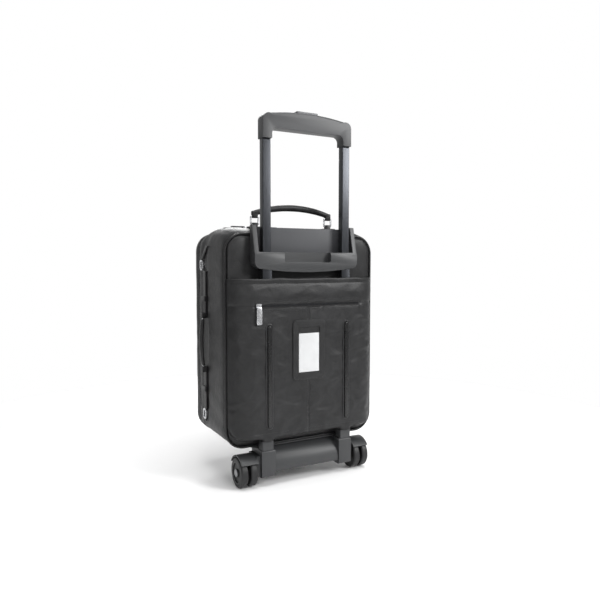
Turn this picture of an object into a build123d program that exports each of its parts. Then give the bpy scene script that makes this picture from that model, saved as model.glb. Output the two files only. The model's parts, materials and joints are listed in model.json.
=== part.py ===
from build123d import *
import os

os.makedirs("parts", exist_ok=True)

# Rolling laptop case. Millimetres, +Z up, the front of the case faces -Y and the pull handle
# stands at the back, +Y. "right" is +X. The floor is Z = 0.

# ---- driving dimensions ------------------------------------------------------------------------
HALF_W = 184.0            # half the width of the leather body
BOTTOM_Z = 83.0           # underside of the body
BACK_TOP_Z = 544.0        # top edge of the back panel
CROWN_Z = 558.0           # highest line of the domed top
FRONT_TOP_Z = 549.0       # top edge where the lid meets the body
CORNER_R = 43.0           # outline corners
WALL = 10.0               # padded gusset thickness
INNER_TOP_Z = 534.0       # ceiling of the main compartment
BACK_Y = 85.0             # outer face of the back panel
PANEL_T = 5.0             # back panel thickness
PIPING_R = 2.45           # cord piping round the back panel
SEAM_Y = -80.0            # zip line between body and lid
ZIP_HALF = 2.0            # half the width of the zip tapes at the seam
ZIP_GAP = 0.15            # half the gap between the two tapes
LID_FACE_Y = -103.0       # outer face of the lid panel
FRONT_Y = -118.0          # fullest point of the front pockets

TUBE_X = 97.0             # pull handle tubes
TUBE_Y = 101.0
OUTER_TUBE = (21.0, 19.0)
INNER_TUBE = (18.6, 16.6)
OUTER_WALL = 1.0
INNER_WALL = 1.2
OUTER_TUBE_Z = (24.0, 500.0)
INNER_TUBE_Z = (268.0, 770.0)

POCKET_FACE_Y = 115.5     # flat face of the back pocket
POCKET_FLAT_X = 128.0     # half the width of that flat face
POCKET_HALF_W = 181.0
POCKET_Z = (100.0, 447.0)
POCKET_SKIN = 3.0
ZIP_Z = 390.0             # back pocket zip

BEZEL_HALF_W = 126.0      # moulded surround of the pull handle
BEZEL_ARM = 10.0
BEZEL_TOP_Z = 560.0
SILL_Z = 503.0            # top of the bezel's cross-member
BEZEL_FACE_Y = 113.0

GRIP_HALF_W = 107.25      # pull handle grip
GRIP_LEG = 20.5
GRIP_DEPTH = 27.0
GRIP_BOTTOM_Z = 738.5
GRIP_BAR_Z = 760.0
GRIP_TOP_Z = 798.0
BUTTON = (52.0, 15.6)

WHEEL_R = 32.0
WHEEL_W = 16.0
AXLE_Y = 83.0
AXLE_R = 4.0
AXLE_CLEARANCE = 0.05
WHEEL_X = {"inner": 129.1, "outer": 151.0}
TRAY_Z = 80.0             # underside of the base tray

HANDLE_Y = 35.0           # carry handle on the top
LOOP_X = 93.0
LOOP_HALF = 9.0
LOOP_PIN_Z = 565.0
LOOP_TOP_Z = 583.0
LOOP_R = 2.0

SIDE_Y = -33.0            # side handle and side straps
SIDE_PIN_X = 191.5
SIDE_HANDLE_Z = (248.0, 355.0)
STRAP_T = 3.5

SIDES = {"left": -1, "right": 1}

# ---- leather body: domed gusset round the main compartment -------------------------------------
CROWN_LINE = [
    (BACK_Y - PANEL_T, BACK_TOP_Z),
    (45.0, CROWN_Z - 2.5),
    (-20.0, CROWN_Z - 2.2),
    (SEAM_Y + ZIP_HALF, FRONT_TOP_Z),
]
with BuildPart() as shell_ring:
    for station_y, top_z in CROWN_LINE:
        with BuildSketch(Plane.XZ.offset(-station_y)):
            with Locations((0, (BOTTOM_Z + top_z) / 2)):
                RectangleRounded(2 * HALF_W, top_z - BOTTOM_Z, CORNER_R)
    loft()
    with BuildSketch(Plane.XZ.offset(-BACK_Y)):
        with Locations((0, (BOTTOM_Z + WALL + INNER_TOP_Z) / 2)):
            RectangleRounded(2 * (HALF_W - WALL), INNER_TOP_Z - BOTTOM_Z - WALL, CORNER_R - WALL)
    extrude(amount=BACK_Y - SEAM_Y, mode=Mode.SUBTRACT)

SPLIT_TOP_Z = INNER_TOP_Z - CORNER_R + WALL
SPLIT_BOTTOM_Z = BOTTOM_Z + CORNER_R
WALL_REGIONS = {
    "gusset_top": (-HALF_W, HALF_W, SPLIT_TOP_Z, CROWN_Z + WALL),
    "gusset_bottom": (-HALF_W, HALF_W, BOTTOM_Z - WALL, SPLIT_BOTTOM_Z),
    "gusset_left": (-HALF_W, 0, SPLIT_BOTTOM_Z, SPLIT_TOP_Z),
    "gusset_right": (0, HALF_W, SPLIT_BOTTOM_Z, SPLIT_TOP_Z),
}
TOP_ZIP_Y = -5.0
TOP_ZIP_W = 12.0
TOP_ZIP_L = 300.0
TOP_ZIP_FLOOR = CROWN_Z - 2.0
CHAPE = (30.0, 20.0)
CHAPE_FLOOR = CROWN_Z - 3.0
for wall_name, (x_low, x_high, z_low, z_high) in WALL_REGIONS.items():
    with BuildPart() as gusset:
        add(shell_ring.part)
        with BuildSketch(Plane.XZ.offset(-BACK_Y)):
            with Locations(((x_low + x_high) / 2, (z_low + z_high) / 2)):
                Rectangle(x_high - x_low, z_high - z_low)
        extrude(amount=BACK_Y - SEAM_Y, mode=Mode.INTERSECT)
        if wall_name == "gusset_top":
            with BuildSketch(Plane.XY.offset(TOP_ZIP_FLOOR)):
                with Locations((0, TOP_ZIP_Y)):
                    Rectangle(TOP_ZIP_L, TOP_ZIP_W)
            extrude(amount=WALL, mode=Mode.SUBTRACT)
            with BuildSketch(Plane.XY.offset(CHAPE_FLOOR)):
                with Locations((-LOOP_X, HANDLE_Y), (LOOP_X, HANDLE_Y)):
                    Rectangle(*CHAPE)
            extrude(amount=WALL, mode=Mode.SUBTRACT)
    gusset.part.label = wall_name
    export_step(gusset.part, f"parts/{wall_name}.step")

# ---- back panel, set inside its piping ---------------------------------------------------------
PANEL_INSET = 2 * PIPING_R + 0.05
PANEL_MID_Z = (BOTTOM_Z + BACK_TOP_Z) / 2
PANEL_H = BACK_TOP_Z - BOTTOM_Z
with BuildPart() as back_panel:
    with BuildSketch(Plane.XZ.offset(PANEL_T - BACK_Y)):
        with Locations((0, PANEL_MID_Z)):
            RectangleRounded(
                2 * (HALF_W - PANEL_INSET), PANEL_H - 2 * PANEL_INSET, CORNER_R - PANEL_INSET
            )
    extrude(amount=-PANEL_T)
back_panel.part.label = "back_panel"
export_step(back_panel.part, "parts/back_panel.step")

PIPING_MID = PIPING_R + 0.02
with BuildSketch(Plane.XZ.offset(PANEL_T / 2 - BACK_Y)) as piping_route:
    with Locations((0, PANEL_MID_Z)):
        RectangleRounded(
            2 * (HALF_W - PIPING_MID), PANEL_H - 2 * PIPING_MID, CORNER_R - PIPING_MID
        )
piping_wire = piping_route.sketch.faces()[0].outer_wire()
with BuildPart() as piping_back:
    with BuildSketch(Plane(piping_wire @ 0, z_dir=piping_wire % 0)):
        Circle(PIPING_R)
    sweep(path=piping_wire)
piping_back.part.label = "piping_back"
export_step(piping_back.part, "parts/piping_back.step")

# ---- padded laptop sleeve against the inside of the back panel ---------------------------------
SLEEVE_HALF_W = 160.0
SLEEVE_Z = (BOTTOM_Z + WALL, 420.0)
SLEEVE_FRONT_Y = 34.0
SLEEVE_PAD = 8.0
with BuildPart() as laptop_sleeve:
    with BuildSketch(Plane.XY.offset(SLEEVE_Z[0])):
        with BuildLine():
            Polyline(
                (-SLEEVE_HALF_W, BACK_Y - PANEL_T),
                (-SLEEVE_HALF_W, SLEEVE_FRONT_Y),
                (SLEEVE_HALF_W, SLEEVE_FRONT_Y),
                (SLEEVE_HALF_W, BACK_Y - PANEL_T),
                (SLEEVE_HALF_W - SLEEVE_PAD, BACK_Y - PANEL_T),
                (SLEEVE_HALF_W - SLEEVE_PAD, SLEEVE_FRONT_Y + SLEEVE_PAD),
                (-SLEEVE_HALF_W + SLEEVE_PAD, SLEEVE_FRONT_Y + SLEEVE_PAD),
                (-SLEEVE_HALF_W + SLEEVE_PAD, BACK_Y - PANEL_T),
                close=True,
            )
        make_face()
    extrude(amount=SLEEVE_Z[1] - SLEEVE_Z[0])
    with BuildSketch(Plane.XY.offset(SLEEVE_Z[0])):
        with Locations((0, (SLEEVE_FRONT_Y + BACK_Y - PANEL_T) / 2)):
            Rectangle(2 * SLEEVE_HALF_W, BACK_Y - PANEL_T - SLEEVE_FRONT_Y)
    extrude(amount=SLEEVE_PAD)
    with BuildSketch(Plane.XZ.offset(-BACK_Y)):
        with Locations((0, (BOTTOM_Z + WALL + INNER_TOP_Z) / 2)):
            RectangleRounded(2 * (HALF_W - WALL), INNER_TOP_Z - BOTTOM_Z - WALL, CORNER_R - WALL)
    extrude(amount=BACK_Y - SEAM_Y, mode=Mode.INTERSECT)
laptop_sleeve.part.label = "laptop_sleeve"
export_step(laptop_sleeve.part, "parts/laptop_sleeve.step")

# ---- back pocket: a curved leather panel over the handle tubes ---------------------------------
RAIL_X = 95.5
RAIL_Z = (130.0, 348.0)
RAIL_W = 8.5
RAIL_H = 4.4
RAIL_EASE = 2.5
RAIL_MID_Z = sum(RAIL_Z) / 2
RAIL_LENGTH = RAIL_Z[1] - RAIL_Z[0]
LIP_W = 4.6
LIP_H = 1.3
ZIP_W = 10.0
ZIP_X = (-130.0, POCKET_FLAT_X)
ZIP_RECESS = 1.0
ZIP_MID_X = sum(ZIP_X) / 2


def pocket_section(skin):
    """Plan of the pocket, flat in the middle and rolled down to the panel at each side."""
    face_y = POCKET_FACE_Y - skin
    roll_r = ((POCKET_HALF_W - POCKET_FLAT_X) ** 2 + (POCKET_FACE_Y - BACK_Y) ** 2) / (
        2 * (POCKET_FACE_Y - BACK_Y)
    ) - skin
    roll_centre_y = face_y - roll_r
    side_x = POCKET_FLAT_X + (roll_r**2 - (BACK_Y - roll_centre_y) ** 2) ** 0.5
    with BuildLine() as outline:
        Line((-side_x, BACK_Y), (side_x, BACK_Y))
        Line((-POCKET_FLAT_X, face_y), (POCKET_FLAT_X, face_y))
        TangentArc((POCKET_FLAT_X, face_y), (side_x, BACK_Y), tangent=(1, 0))
        TangentArc((-POCKET_FLAT_X, face_y), (-side_x, BACK_Y), tangent=(-1, 0))
    return outline.line


with BuildPart() as pocket_space:
    with BuildSketch(Plane.XY.offset(POCKET_Z[0] + POCKET_SKIN)):
        add(pocket_section(POCKET_SKIN))
        make_face()
    extrude(amount=POCKET_Z[1] - POCKET_Z[0])
    with BuildSketch(Plane.XZ.offset(-BACK_Y)):
        with Locations((0, (POCKET_Z[0] + POCKET_SKIN + CROWN_Z) / 2)):
            RectangleRounded(
                2 * (HALF_W - POCKET_SKIN), CROWN_Z - POCKET_Z[0] - POCKET_SKIN, CORNER_R
            )
    extrude(amount=-2 * (POCKET_FACE_Y - BACK_Y), mode=Mode.INTERSECT)

with BuildPart() as back_pocket:
    with BuildSketch(Plane.XY.offset(POCKET_Z[0])):
        add(pocket_section(0.0))
        make_face()
    extrude(amount=POCKET_Z[1] - POCKET_Z[0])
    with BuildSketch(Plane.XZ.offset(-BACK_Y)):
        with Locations((0, (POCKET_Z[0] + CROWN_Z) / 2)):
            RectangleRounded(2 * HALF_W, CROWN_Z - POCKET_Z[0], CORNER_R)
    extrude(amount=-2 * (POCKET_FACE_Y - BACK_Y), mode=Mode.INTERSECT)
    add(pocket_space.part, mode=Mode.SUBTRACT)
    # holes in the bottom seam for the two tubes
    with BuildSketch(Plane.XY.offset(POCKET_Z[0])):
        with Locations((-TUBE_X, TUBE_Y), (TUBE_X, TUBE_Y)):
            Rectangle(*OUTER_TUBE)
    extrude(amount=2 * POCKET_SKIN, mode=Mode.SUBTRACT)
    # leather lips round the skid rails
    with BuildSketch(Plane.XZ.offset(-POCKET_FACE_Y)):
        with Locations((-RAIL_X, RAIL_MID_Z), (RAIL_X, RAIL_MID_Z)):
            SlotOverall(RAIL_LENGTH + 2 * LIP_W, RAIL_W + 2 * LIP_W, rotation=90)
            SlotOverall(RAIL_LENGTH, RAIL_W, rotation=90, mode=Mode.SUBTRACT)
    extrude(amount=-LIP_H)
    # recess for the zip tape
    with BuildSketch(Plane.XZ.offset(ZIP_RECESS - POCKET_FACE_Y)):
        with Locations((ZIP_MID_X, ZIP_Z)):
            Rectangle(ZIP_X[1] - ZIP_X[0], ZIP_W)
    extrude(amount=-2 * ZIP_RECESS, mode=Mode.SUBTRACT)
back_pocket.part.label = "back_pocket"
export_step(back_pocket.part, "parts/back_pocket.step")

# ---- skid rails --------------------------------------------------------------------------------
for side, sign in SIDES.items():
    with BuildPart() as skid_rail:
        with BuildSketch(Plane.XZ.offset(-POCKET_FACE_Y)):
            with Locations((sign * RAIL_X, RAIL_MID_Z)):
                SlotOverall(RAIL_LENGTH, RAIL_W, rotation=90)
        extrude(amount=-RAIL_H)
        fillet(skid_rail.faces().sort_by(Axis.Y)[-1].edges(), RAIL_EASE)
    skid_rail.part.label = f"skid_rail_{side}"
    export_step(skid_rail.part, f"parts/skid_rail_{side}.step")

# ---- zip tapes that stay with the body: seam, top access zip and back pocket -------------------
SEAM_TAPE_T = 3.0
TAPE_INSET = 1.0
TOP_TAPE_T = 2.2
POCKET_TAPE_T = 1.3
with BuildPart() as zip_tapes:
    with BuildSketch(Plane.XZ.offset(-SEAM_Y - ZIP_HALF)):
        with Locations((0, (BOTTOM_Z + FRONT_TOP_Z) / 2)):
            RectangleRounded(
                2 * (HALF_W - TAPE_INSET),
                FRONT_TOP_Z - BOTTOM_Z - 2 * TAPE_INSET,
                CORNER_R - TAPE_INSET,
            )
            RectangleRounded(
                2 * (HALF_W - TAPE_INSET - SEAM_TAPE_T),
                FRONT_TOP_Z - BOTTOM_Z - 2 * TAPE_INSET - 2 * SEAM_TAPE_T,
                CORNER_R - TAPE_INSET - SEAM_TAPE_T,
                mode=Mode.SUBTRACT,
            )
        # the hinge side has no zip
        with Locations((-HALF_W, (SPLIT_BOTTOM_Z + SPLIT_TOP_Z) / 2)):
            Rectangle(4 * SEAM_TAPE_T, SPLIT_TOP_Z - SPLIT_BOTTOM_Z, mode=Mode.SUBTRACT)
    extrude(amount=ZIP_HALF - ZIP_GAP)
    with BuildSketch(Plane.XY.offset(TOP_ZIP_FLOOR)):
        with Locations((0, TOP_ZIP_Y)):
            Rectangle(TOP_ZIP_L, TOP_ZIP_W)
    extrude(amount=TOP_TAPE_T)
    with BuildSketch(Plane.XZ.offset(ZIP_RECESS - POCKET_FACE_Y)):
        with Locations((ZIP_MID_X, ZIP_Z)):
            Rectangle(ZIP_X[1] - ZIP_X[0], ZIP_W)
    extrude(amount=-POCKET_TAPE_T)
zip_tapes.part.label = "zip_tapes"
export_step(zip_tapes.part, "parts/zip_tapes.step")

# ---- leather hinge of the lid ------------------------------------------------------------------
with BuildPart() as lid_hinge:
    with BuildSketch(Plane.XZ.offset(-SEAM_Y - ZIP_HALF)):
        with Locations((-HALF_W + SEAM_TAPE_T / 2, (SPLIT_BOTTOM_Z + SPLIT_TOP_Z) / 2)):
            Rectangle(SEAM_TAPE_T, SPLIT_TOP_Z - SPLIT_BOTTOM_Z - 0.4)
    extrude(amount=ZIP_HALF - ZIP_GAP)
lid_hinge.part.label = "lid_hinge"
export_step(lid_hinge.part, "parts/lid_hinge.step")

# ---- tag frame and card ------------------------------------------------------------------------
TAG_Z = (225.0, 357.0)
TAG_W = 80.0
TAG_OPENING = (52.0, 100.0)
TAG_T = 2.0
TAG_R = (9.0, 3.0)
CARD_T = 0.6
CARD = (50.0, 85.0)
CARD_MID_Z = 285.0
TAG_MID_Z = sum(TAG_Z) / 2
with BuildPart() as tag_frame:
    with BuildSketch(Plane.XZ.offset(-POCKET_FACE_Y)):
        with Locations((0, TAG_MID_Z)):
            RectangleRounded(TAG_W, TAG_Z[1] - TAG_Z[0], TAG_R[0])
            RectangleRounded(*TAG_OPENING, TAG_R[1], mode=Mode.SUBTRACT)
    extrude(amount=-TAG_T)
tag_frame.part.label = "tag_frame"
export_step(tag_frame.part, "parts/tag_frame.step")

with BuildPart() as id_card:
    with BuildSketch(Plane.XZ.offset(-POCKET_FACE_Y)):
        with Locations((0, CARD_MID_Z)):
            Rectangle(*CARD)
    extrude(amount=-CARD_T)
id_card.part.label = "id_card"
export_step(id_card.part, "parts/id_card.step")

# ---- moulded bezel: cross-member with finger scoop, and two arms -------------------------------
ARM_X = BEZEL_HALF_W - BEZEL_ARM
BEZEL_R = 14.0
SCOOP_HALF_W = 57.0
SCOOP_Z = 481.0
SCOOP_Y = 99.0
BOW_Z = 460.0
BEZEL_SIDE_Z = 468.0      # lowest line of its outer corners
ARM_TOP_Y = 97.0          # the arms lean forward to here at the top
FACE_EASE = 3.0
SCOOP_R = 4.0
TUBE_LIP_GAP = 0.8
DIAGONAL = 0.5**0.5
with BuildPart() as handle_bezel:
    with BuildSketch(Plane.XZ.offset(-BACK_Y)):
        with BuildLine():
            corner_z = BEZEL_SIDE_Z + BEZEL_R
            corner_x = BEZEL_HALF_W - BEZEL_R
            Polyline(
                (-BEZEL_HALF_W, corner_z),
                (-BEZEL_HALF_W, BEZEL_TOP_Z),
                (-ARM_X, BEZEL_TOP_Z),
                (-ARM_X, SILL_Z),
                (ARM_X, SILL_Z),
                (ARM_X, BEZEL_TOP_Z),
                (BEZEL_HALF_W, BEZEL_TOP_Z),
                (BEZEL_HALF_W, corner_z),
            )
            for sign in SIDES.values():
                ThreePointArc(
                    (sign * BEZEL_HALF_W, corner_z),
                    (sign * (corner_x + DIAGONAL * BEZEL_R), corner_z - DIAGONAL * BEZEL_R),
                    (sign * corner_x, corner_z - BEZEL_R),
                )
            ThreePointArc(
                (-corner_x, corner_z - BEZEL_R), (0, BOW_Z), (corner_x, corner_z - BEZEL_R)
            )
        make_face()
    extrude(amount=-(BEZEL_FACE_Y - BACK_Y))
    # the arms lean forward towards the top
    with BuildSketch(Plane.YZ):
        with BuildLine():
            Polyline(
                (BACK_Y, BOW_Z - 1),
                (BEZEL_FACE_Y - FACE_EASE, BOW_Z - 1),
                (BEZEL_FACE_Y, BEZEL_SIDE_Z),
                (BEZEL_FACE_Y, SILL_Z - 2 * FACE_EASE),
                (BEZEL_FACE_Y - FACE_EASE, SILL_Z),
                (ARM_TOP_Y, BEZEL_TOP_Z),
                (BACK_Y, BEZEL_TOP_Z),
                close=True,
            )
        make_face()
    extrude(amount=BEZEL_HALF_W, both=True, mode=Mode.INTERSECT)
    # finger scoop
    with BuildSketch(Plane.XZ.offset(-SCOOP_Y)):
        with Locations((0, (SCOOP_Z + SILL_Z + BEZEL_R) / 2)):
            RectangleRounded(2 * SCOOP_HALF_W, SILL_Z + BEZEL_R - SCOOP_Z, SCOOP_R)
    extrude(amount=-(BEZEL_FACE_Y - SCOOP_Y), mode=Mode.SUBTRACT)
    # seats of the outer tubes, with a lip round the sliding tubes
    with BuildSketch(Plane.XY.offset(BOW_Z - 1)):
        with Locations((-TUBE_X, TUBE_Y), (TUBE_X, TUBE_Y)):
            Rectangle(*OUTER_TUBE)
    extrude(amount=OUTER_TUBE_Z[1] - BOW_Z + 1, mode=Mode.SUBTRACT)
    with BuildSketch(Plane.XY.offset(BOW_Z)):
        with Locations((-TUBE_X, TUBE_Y), (TUBE_X, TUBE_Y)):
            Rectangle(INNER_TUBE[0] + TUBE_LIP_GAP, INNER_TUBE[1] + TUBE_LIP_GAP)
    extrude(amount=SILL_Z - BOW_Z + 1, mode=Mode.SUBTRACT)
handle_bezel.part.label = "handle_bezel"
export_step(handle_bezel.part, "parts/handle_bezel.step")

# ---- recess plate behind the grip when the handle is down --------------------------------------
PLATE_TOP_Z = 556.0
PLATE_T = 1.8
PLATE_FIT = 0.2
with BuildPart() as recess_plate:
    with BuildSketch(Plane.XZ.offset(-BACK_Y)):
        with Locations((0, (SILL_Z + PLATE_TOP_Z) / 2)):
            Rectangle(2 * ARM_X - PLATE_FIT, PLATE_TOP_Z - SILL_Z - PLATE_FIT)
    extrude(amount=-PLATE_T)
recess_plate.part.label = "recess_plate"
export_step(recess_plate.part, "parts/recess_plate.step")

# ---- fixed outer tubes -------------------------------------------------------------------------
for side, sign in SIDES.items():
    with BuildPart() as outer_tube:
        with BuildSketch(Plane.XY.offset(OUTER_TUBE_Z[0])):
            with Locations((sign * TUBE_X, TUBE_Y)):
                Rectangle(*OUTER_TUBE)
                Rectangle(
                    OUTER_TUBE[0] - 2 * OUTER_WALL, OUTER_TUBE[1] - 2 * OUTER_WALL, mode=Mode.SUBTRACT
                )
        extrude(amount=OUTER_TUBE_Z[1] - OUTER_TUBE_Z[0])
    outer_tube.part.label = f"outer_tube_{side}"
    export_step(outer_tube.part, f"parts/outer_tube_{side}.step")

# ---- sockets that carry the tubes from the bag down to the brackets ----------------------------
SOCKET = (26.8, 23.0)
SOCKET_R = 3.0
with BuildPart() as tube_sockets:
    with BuildSketch(Plane.XY.offset(TRAY_Z)):
        with Locations((-TUBE_X, TUBE_Y), (TUBE_X, TUBE_Y)):
            RectangleRounded(*SOCKET, SOCKET_R)
            Rectangle(*OUTER_TUBE, mode=Mode.SUBTRACT)
    extrude(amount=POCKET_Z[0] - TRAY_Z)
tube_sockets.part.label = "tube_sockets"
export_step(tube_sockets.part, "parts/tube_sockets.step")

# ---- base tray ---------------------------------------------------------------------------------
TRAY_HALF_W = 122.0
TRAY_FRONT_Y = -76.0
TRAY_R = 8.0
with BuildPart() as base_tray:
    with BuildSketch(Plane.XY.offset(TRAY_Z)):
        with Locations((0, (TRAY_FRONT_Y + BACK_Y) / 2)):
            RectangleRounded(2 * TRAY_HALF_W, BACK_Y - TRAY_FRONT_Y, TRAY_R)
    extrude(amount=BOTTOM_Z - TRAY_Z)
base_tray.part.label = "base_tray"
export_step(base_tray.part, "parts/base_tray.step")

# ---- wheel brackets, hoods and axles -----------------------------------------------------------
BRACKET_Z = 21.0
BRACKET_X = (80.0, 112.0)
OUTBOARD_X = 119.5
OUTBOARD_TOP_Z = 68.0
BRACKET_Y = (58.0, 112.5)
BRACKET_R = 5.0
OUTBOARD_L = 46.0
OUTBOARD_Y = AXLE_Y - 2.0
HOOD_R = (35.0, 38.0)
HOOD_X = (OUTBOARD_X, 158.0)
HOOD_REAR_DEG = 38.0
HOOD_FRONT_DEG = 152.0
WEB_X = (138.0, 142.1)
WEB_HALF_Y = 12.0
AXLE_X = (100.0, 159.2)
AXLE_HEAD = (8.0, 1.4)
AXLE_PLACE = (AXLE_Y, WHEEL_R)
for side, sign in SIDES.items():
    with BuildPart() as wheel_bracket:
        with BuildSketch(Plane.YZ.offset(sign * BRACKET_X[0])):
            with Locations((sum(BRACKET_Y) / 2, (BRACKET_Z + TRAY_Z) / 2)):
                RectangleRounded(BRACKET_Y[1] - BRACKET_Y[0], TRAY_Z - BRACKET_Z, BRACKET_R)
        extrude(amount=sign * (BRACKET_X[1] - BRACKET_X[0]))
        with BuildSketch(Plane.YZ.offset(sign * BRACKET_X[1])):
            with Locations((OUTBOARD_Y, (BRACKET_Z + OUTBOARD_TOP_Z) / 2)):
                RectangleRounded(OUTBOARD_L, OUTBOARD_TOP_Z - BRACKET_Z, BRACKET_R)
        extrude(amount=sign * (OUTBOARD_X - BRACKET_X[1]))
        with BuildSketch(Plane.XY.offset(OUTER_TUBE_Z[0])):
            with Locations((sign * TUBE_X, TUBE_Y)):
                Rectangle(*OUTER_TUBE)
        extrude(amount=TRAY_Z - OUTER_TUBE_Z[0], mode=Mode.SUBTRACT)
        with BuildSketch(Plane.YZ.offset(sign * AXLE_X[0])):
            with Locations(AXLE_PLACE):
                Circle(AXLE_R)
        extrude(amount=sign * (OUTBOARD_X - AXLE_X[0]), mode=Mode.SUBTRACT)
    wheel_bracket.part.label = f"wheel_bracket_{side}"
    export_step(wheel_bracket.part, f"parts/wheel_bracket_{side}.step")

    with BuildPart() as wheel_hood:
        with BuildSketch(Plane.YZ.offset(sign * HOOD_X[0])) as hood_section:
            with Locations(AXLE_PLACE):
                Circle(HOOD_R[1])
                Circle(HOOD_R[0], mode=Mode.SUBTRACT)
            axle_centre = Vector(*AXLE_PLACE)
            with BuildLine():
                Polyline(
                    axle_centre,
                    axle_centre + Vector(2 * WHEEL_R, 0).rotate(Axis.Z, HOOD_REAR_DEG),
                    axle_centre + Vector(0, 3 * WHEEL_R),
                    axle_centre + Vector(2 * WHEEL_R, 0).rotate(Axis.Z, HOOD_FRONT_DEG),
                    close=True,
                )
            make_face(mode=Mode.INTERSECT)
        extrude(amount=sign * (HOOD_X[1] - HOOD_X[0]))
        with BuildSketch(Plane.YZ.offset(sign * WEB_X[0])):
            with Locations(AXLE_PLACE):
                Circle(WEB_HALF_Y)
            with Locations((AXLE_Y, WHEEL_R + HOOD_R[0] / 2)):
                Rectangle(2 * WEB_HALF_Y, HOOD_R[0])
            with Locations(AXLE_PLACE):
                Circle(AXLE_R, mode=Mode.SUBTRACT)
        extrude(amount=sign * (WEB_X[1] - WEB_X[0]))
    wheel_hood.part.label = f"wheel_hood_{side}"
    export_step(wheel_hood.part, f"parts/wheel_hood_{side}.step")

with BuildPart() as axles:
    for sign in SIDES.values():
        with BuildSketch(Plane.YZ.offset(sign * AXLE_X[0])):
            with Locations(AXLE_PLACE):
                Circle(AXLE_R)
        extrude(amount=sign * (AXLE_X[1] - AXLE_X[0]))
        with BuildSketch(Plane.YZ.offset(sign * AXLE_X[1])):
            with Locations(AXLE_PLACE):
                Circle(AXLE_HEAD[0])
        extrude(amount=sign * AXLE_HEAD[1])
axles.part.label = "axles"
export_step(axles.part, "parts/axles.step")

# ---- twin wheels: a tyre on a dished hub -------------------------------------------------------
HUB_R = 24.0
HUB_BOSS_R = 9.0
HUB_DISH = 3.0
HUB_RIM = 3.0
TYRE_EASE = 4.0
for side, sign in SIDES.items():
    for place, wheel_x in WHEEL_X.items():
        low_x = sign * wheel_x - WHEEL_W / 2
        with BuildPart() as tyre:
            with BuildSketch(Plane.YZ.offset(low_x)):
                with Locations(AXLE_PLACE):
                    Circle(WHEEL_R)
                    Circle(HUB_R, mode=Mode.SUBTRACT)
            extrude(amount=WHEEL_W)
            fillet(tyre.edges().filter_by(GeomType.CIRCLE).group_by(SortBy.RADIUS)[-1], TYRE_EASE)
        tyre.part.label = f"tyre_{side}_{place}"
        export_step(tyre.part, f"parts/tyre_{side}_{place}.step")

        with BuildPart() as hub:
            with BuildSketch(Plane.YZ.offset(low_x)):
                with Locations(AXLE_PLACE):
                    Circle(HUB_R)
                    Circle(AXLE_R + AXLE_CLEARANCE, mode=Mode.SUBTRACT)
            extrude(amount=WHEEL_W)
            for dish_x in (low_x, low_x + WHEEL_W - HUB_DISH):
                with BuildSketch(Plane.YZ.offset(dish_x)):
                    with Locations(AXLE_PLACE):
                        Circle(HUB_R - HUB_RIM)
                        Circle(HUB_BOSS_R, mode=Mode.SUBTRACT)
                extrude(amount=HUB_DISH, mode=Mode.SUBTRACT)
        hub.part.label = f"hub_{side}_{place}"
        export_step(hub.part, f"parts/hub_{side}_{place}.step")

# ---- kick plate between the brackets -----------------------------------------------------------
KICK_R = 40.0
KICK_T = 3.0
KICK_LEDGE = 12.0         # flat strip under the tray
KICK_Y = 110.0
KICK_BOTTOM_Z = 30.0
KICK_HALF_W = 79.8
with BuildPart() as kick_plate:
    with BuildSketch(Plane.YZ.offset(-KICK_HALF_W)):
        with BuildLine():
            arc_y = KICK_Y - KICK_R
            arc_z = TRAY_Z - KICK_R
            Polyline(
                (arc_y, TRAY_Z),
                (arc_y - KICK_LEDGE, TRAY_Z),
                (arc_y - KICK_LEDGE, TRAY_Z - KICK_T),
                (arc_y, TRAY_Z - KICK_T),
            )
            ThreePointArc(
                (arc_y, TRAY_Z - KICK_T),
                (arc_y + DIAGONAL * (KICK_R - KICK_T), arc_z + DIAGONAL * (KICK_R - KICK_T)),
                (KICK_Y - KICK_T, arc_z),
            )
            Polyline(
                (KICK_Y - KICK_T, arc_z),
                (KICK_Y - KICK_T, KICK_BOTTOM_Z),
                (KICK_Y, KICK_BOTTOM_Z),
                (KICK_Y, arc_z),
            )
            ThreePointArc(
                (KICK_Y, arc_z),
                (arc_y + DIAGONAL * KICK_R, arc_z + DIAGONAL * KICK_R),
                (arc_y, TRAY_Z),
            )
        make_face()
    extrude(amount=2 * KICK_HALF_W)
kick_plate.part.label = "kick_plate"
export_step(kick_plate.part, "parts/kick_plate.step")

# ---- front foot --------------------------------------------------------------------------------
FOOT_Y = -62.0
FOOT_BASE = (108.0, 20.0)
FOOT_HEAD = (124.0, 27.0)
FOOT_R = 5.0
with BuildPart() as front_foot:
    with BuildSketch(Plane.XY):
        with Locations((0, FOOT_Y)):
            RectangleRounded(*FOOT_BASE, FOOT_R)
    with BuildSketch(Plane.XY.offset(TRAY_Z)):
        with Locations((0, FOOT_Y)):
            RectangleRounded(*FOOT_HEAD, FOOT_R)
    loft()
front_foot.part.label = "front_foot"
export_step(front_foot.part, "parts/front_foot.step")

# ---- lid: gusset ring, panel, two front pockets and zip ----------------------------------------
LID_WALL = 8.0
LID_PANEL_T = 6.0
LID_EASE = 4.0
LID_RING_Y = SEAM_Y - ZIP_HALF
LID_MID_Z = (BOTTOM_Z + FRONT_TOP_Z) / 2
LID_H = FRONT_TOP_Z - BOTTOM_Z
with BuildPart() as lid_gusset:
    with BuildSketch(Plane.XZ.offset(-LID_RING_Y)):
        with Locations((0, LID_MID_Z)):
            RectangleRounded(2 * HALF_W, LID_H, CORNER_R)
            RectangleRounded(
                2 * (HALF_W - LID_WALL),
                LID_H - 2 * LID_WALL,
                CORNER_R - LID_WALL,
                mode=Mode.SUBTRACT,
            )
    extrude(amount=LID_RING_Y - LID_FACE_Y - LID_PANEL_T)
lid_gusset.part.label = "lid_gusset"
export_step(lid_gusset.part, "parts/lid_gusset.step")

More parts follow.
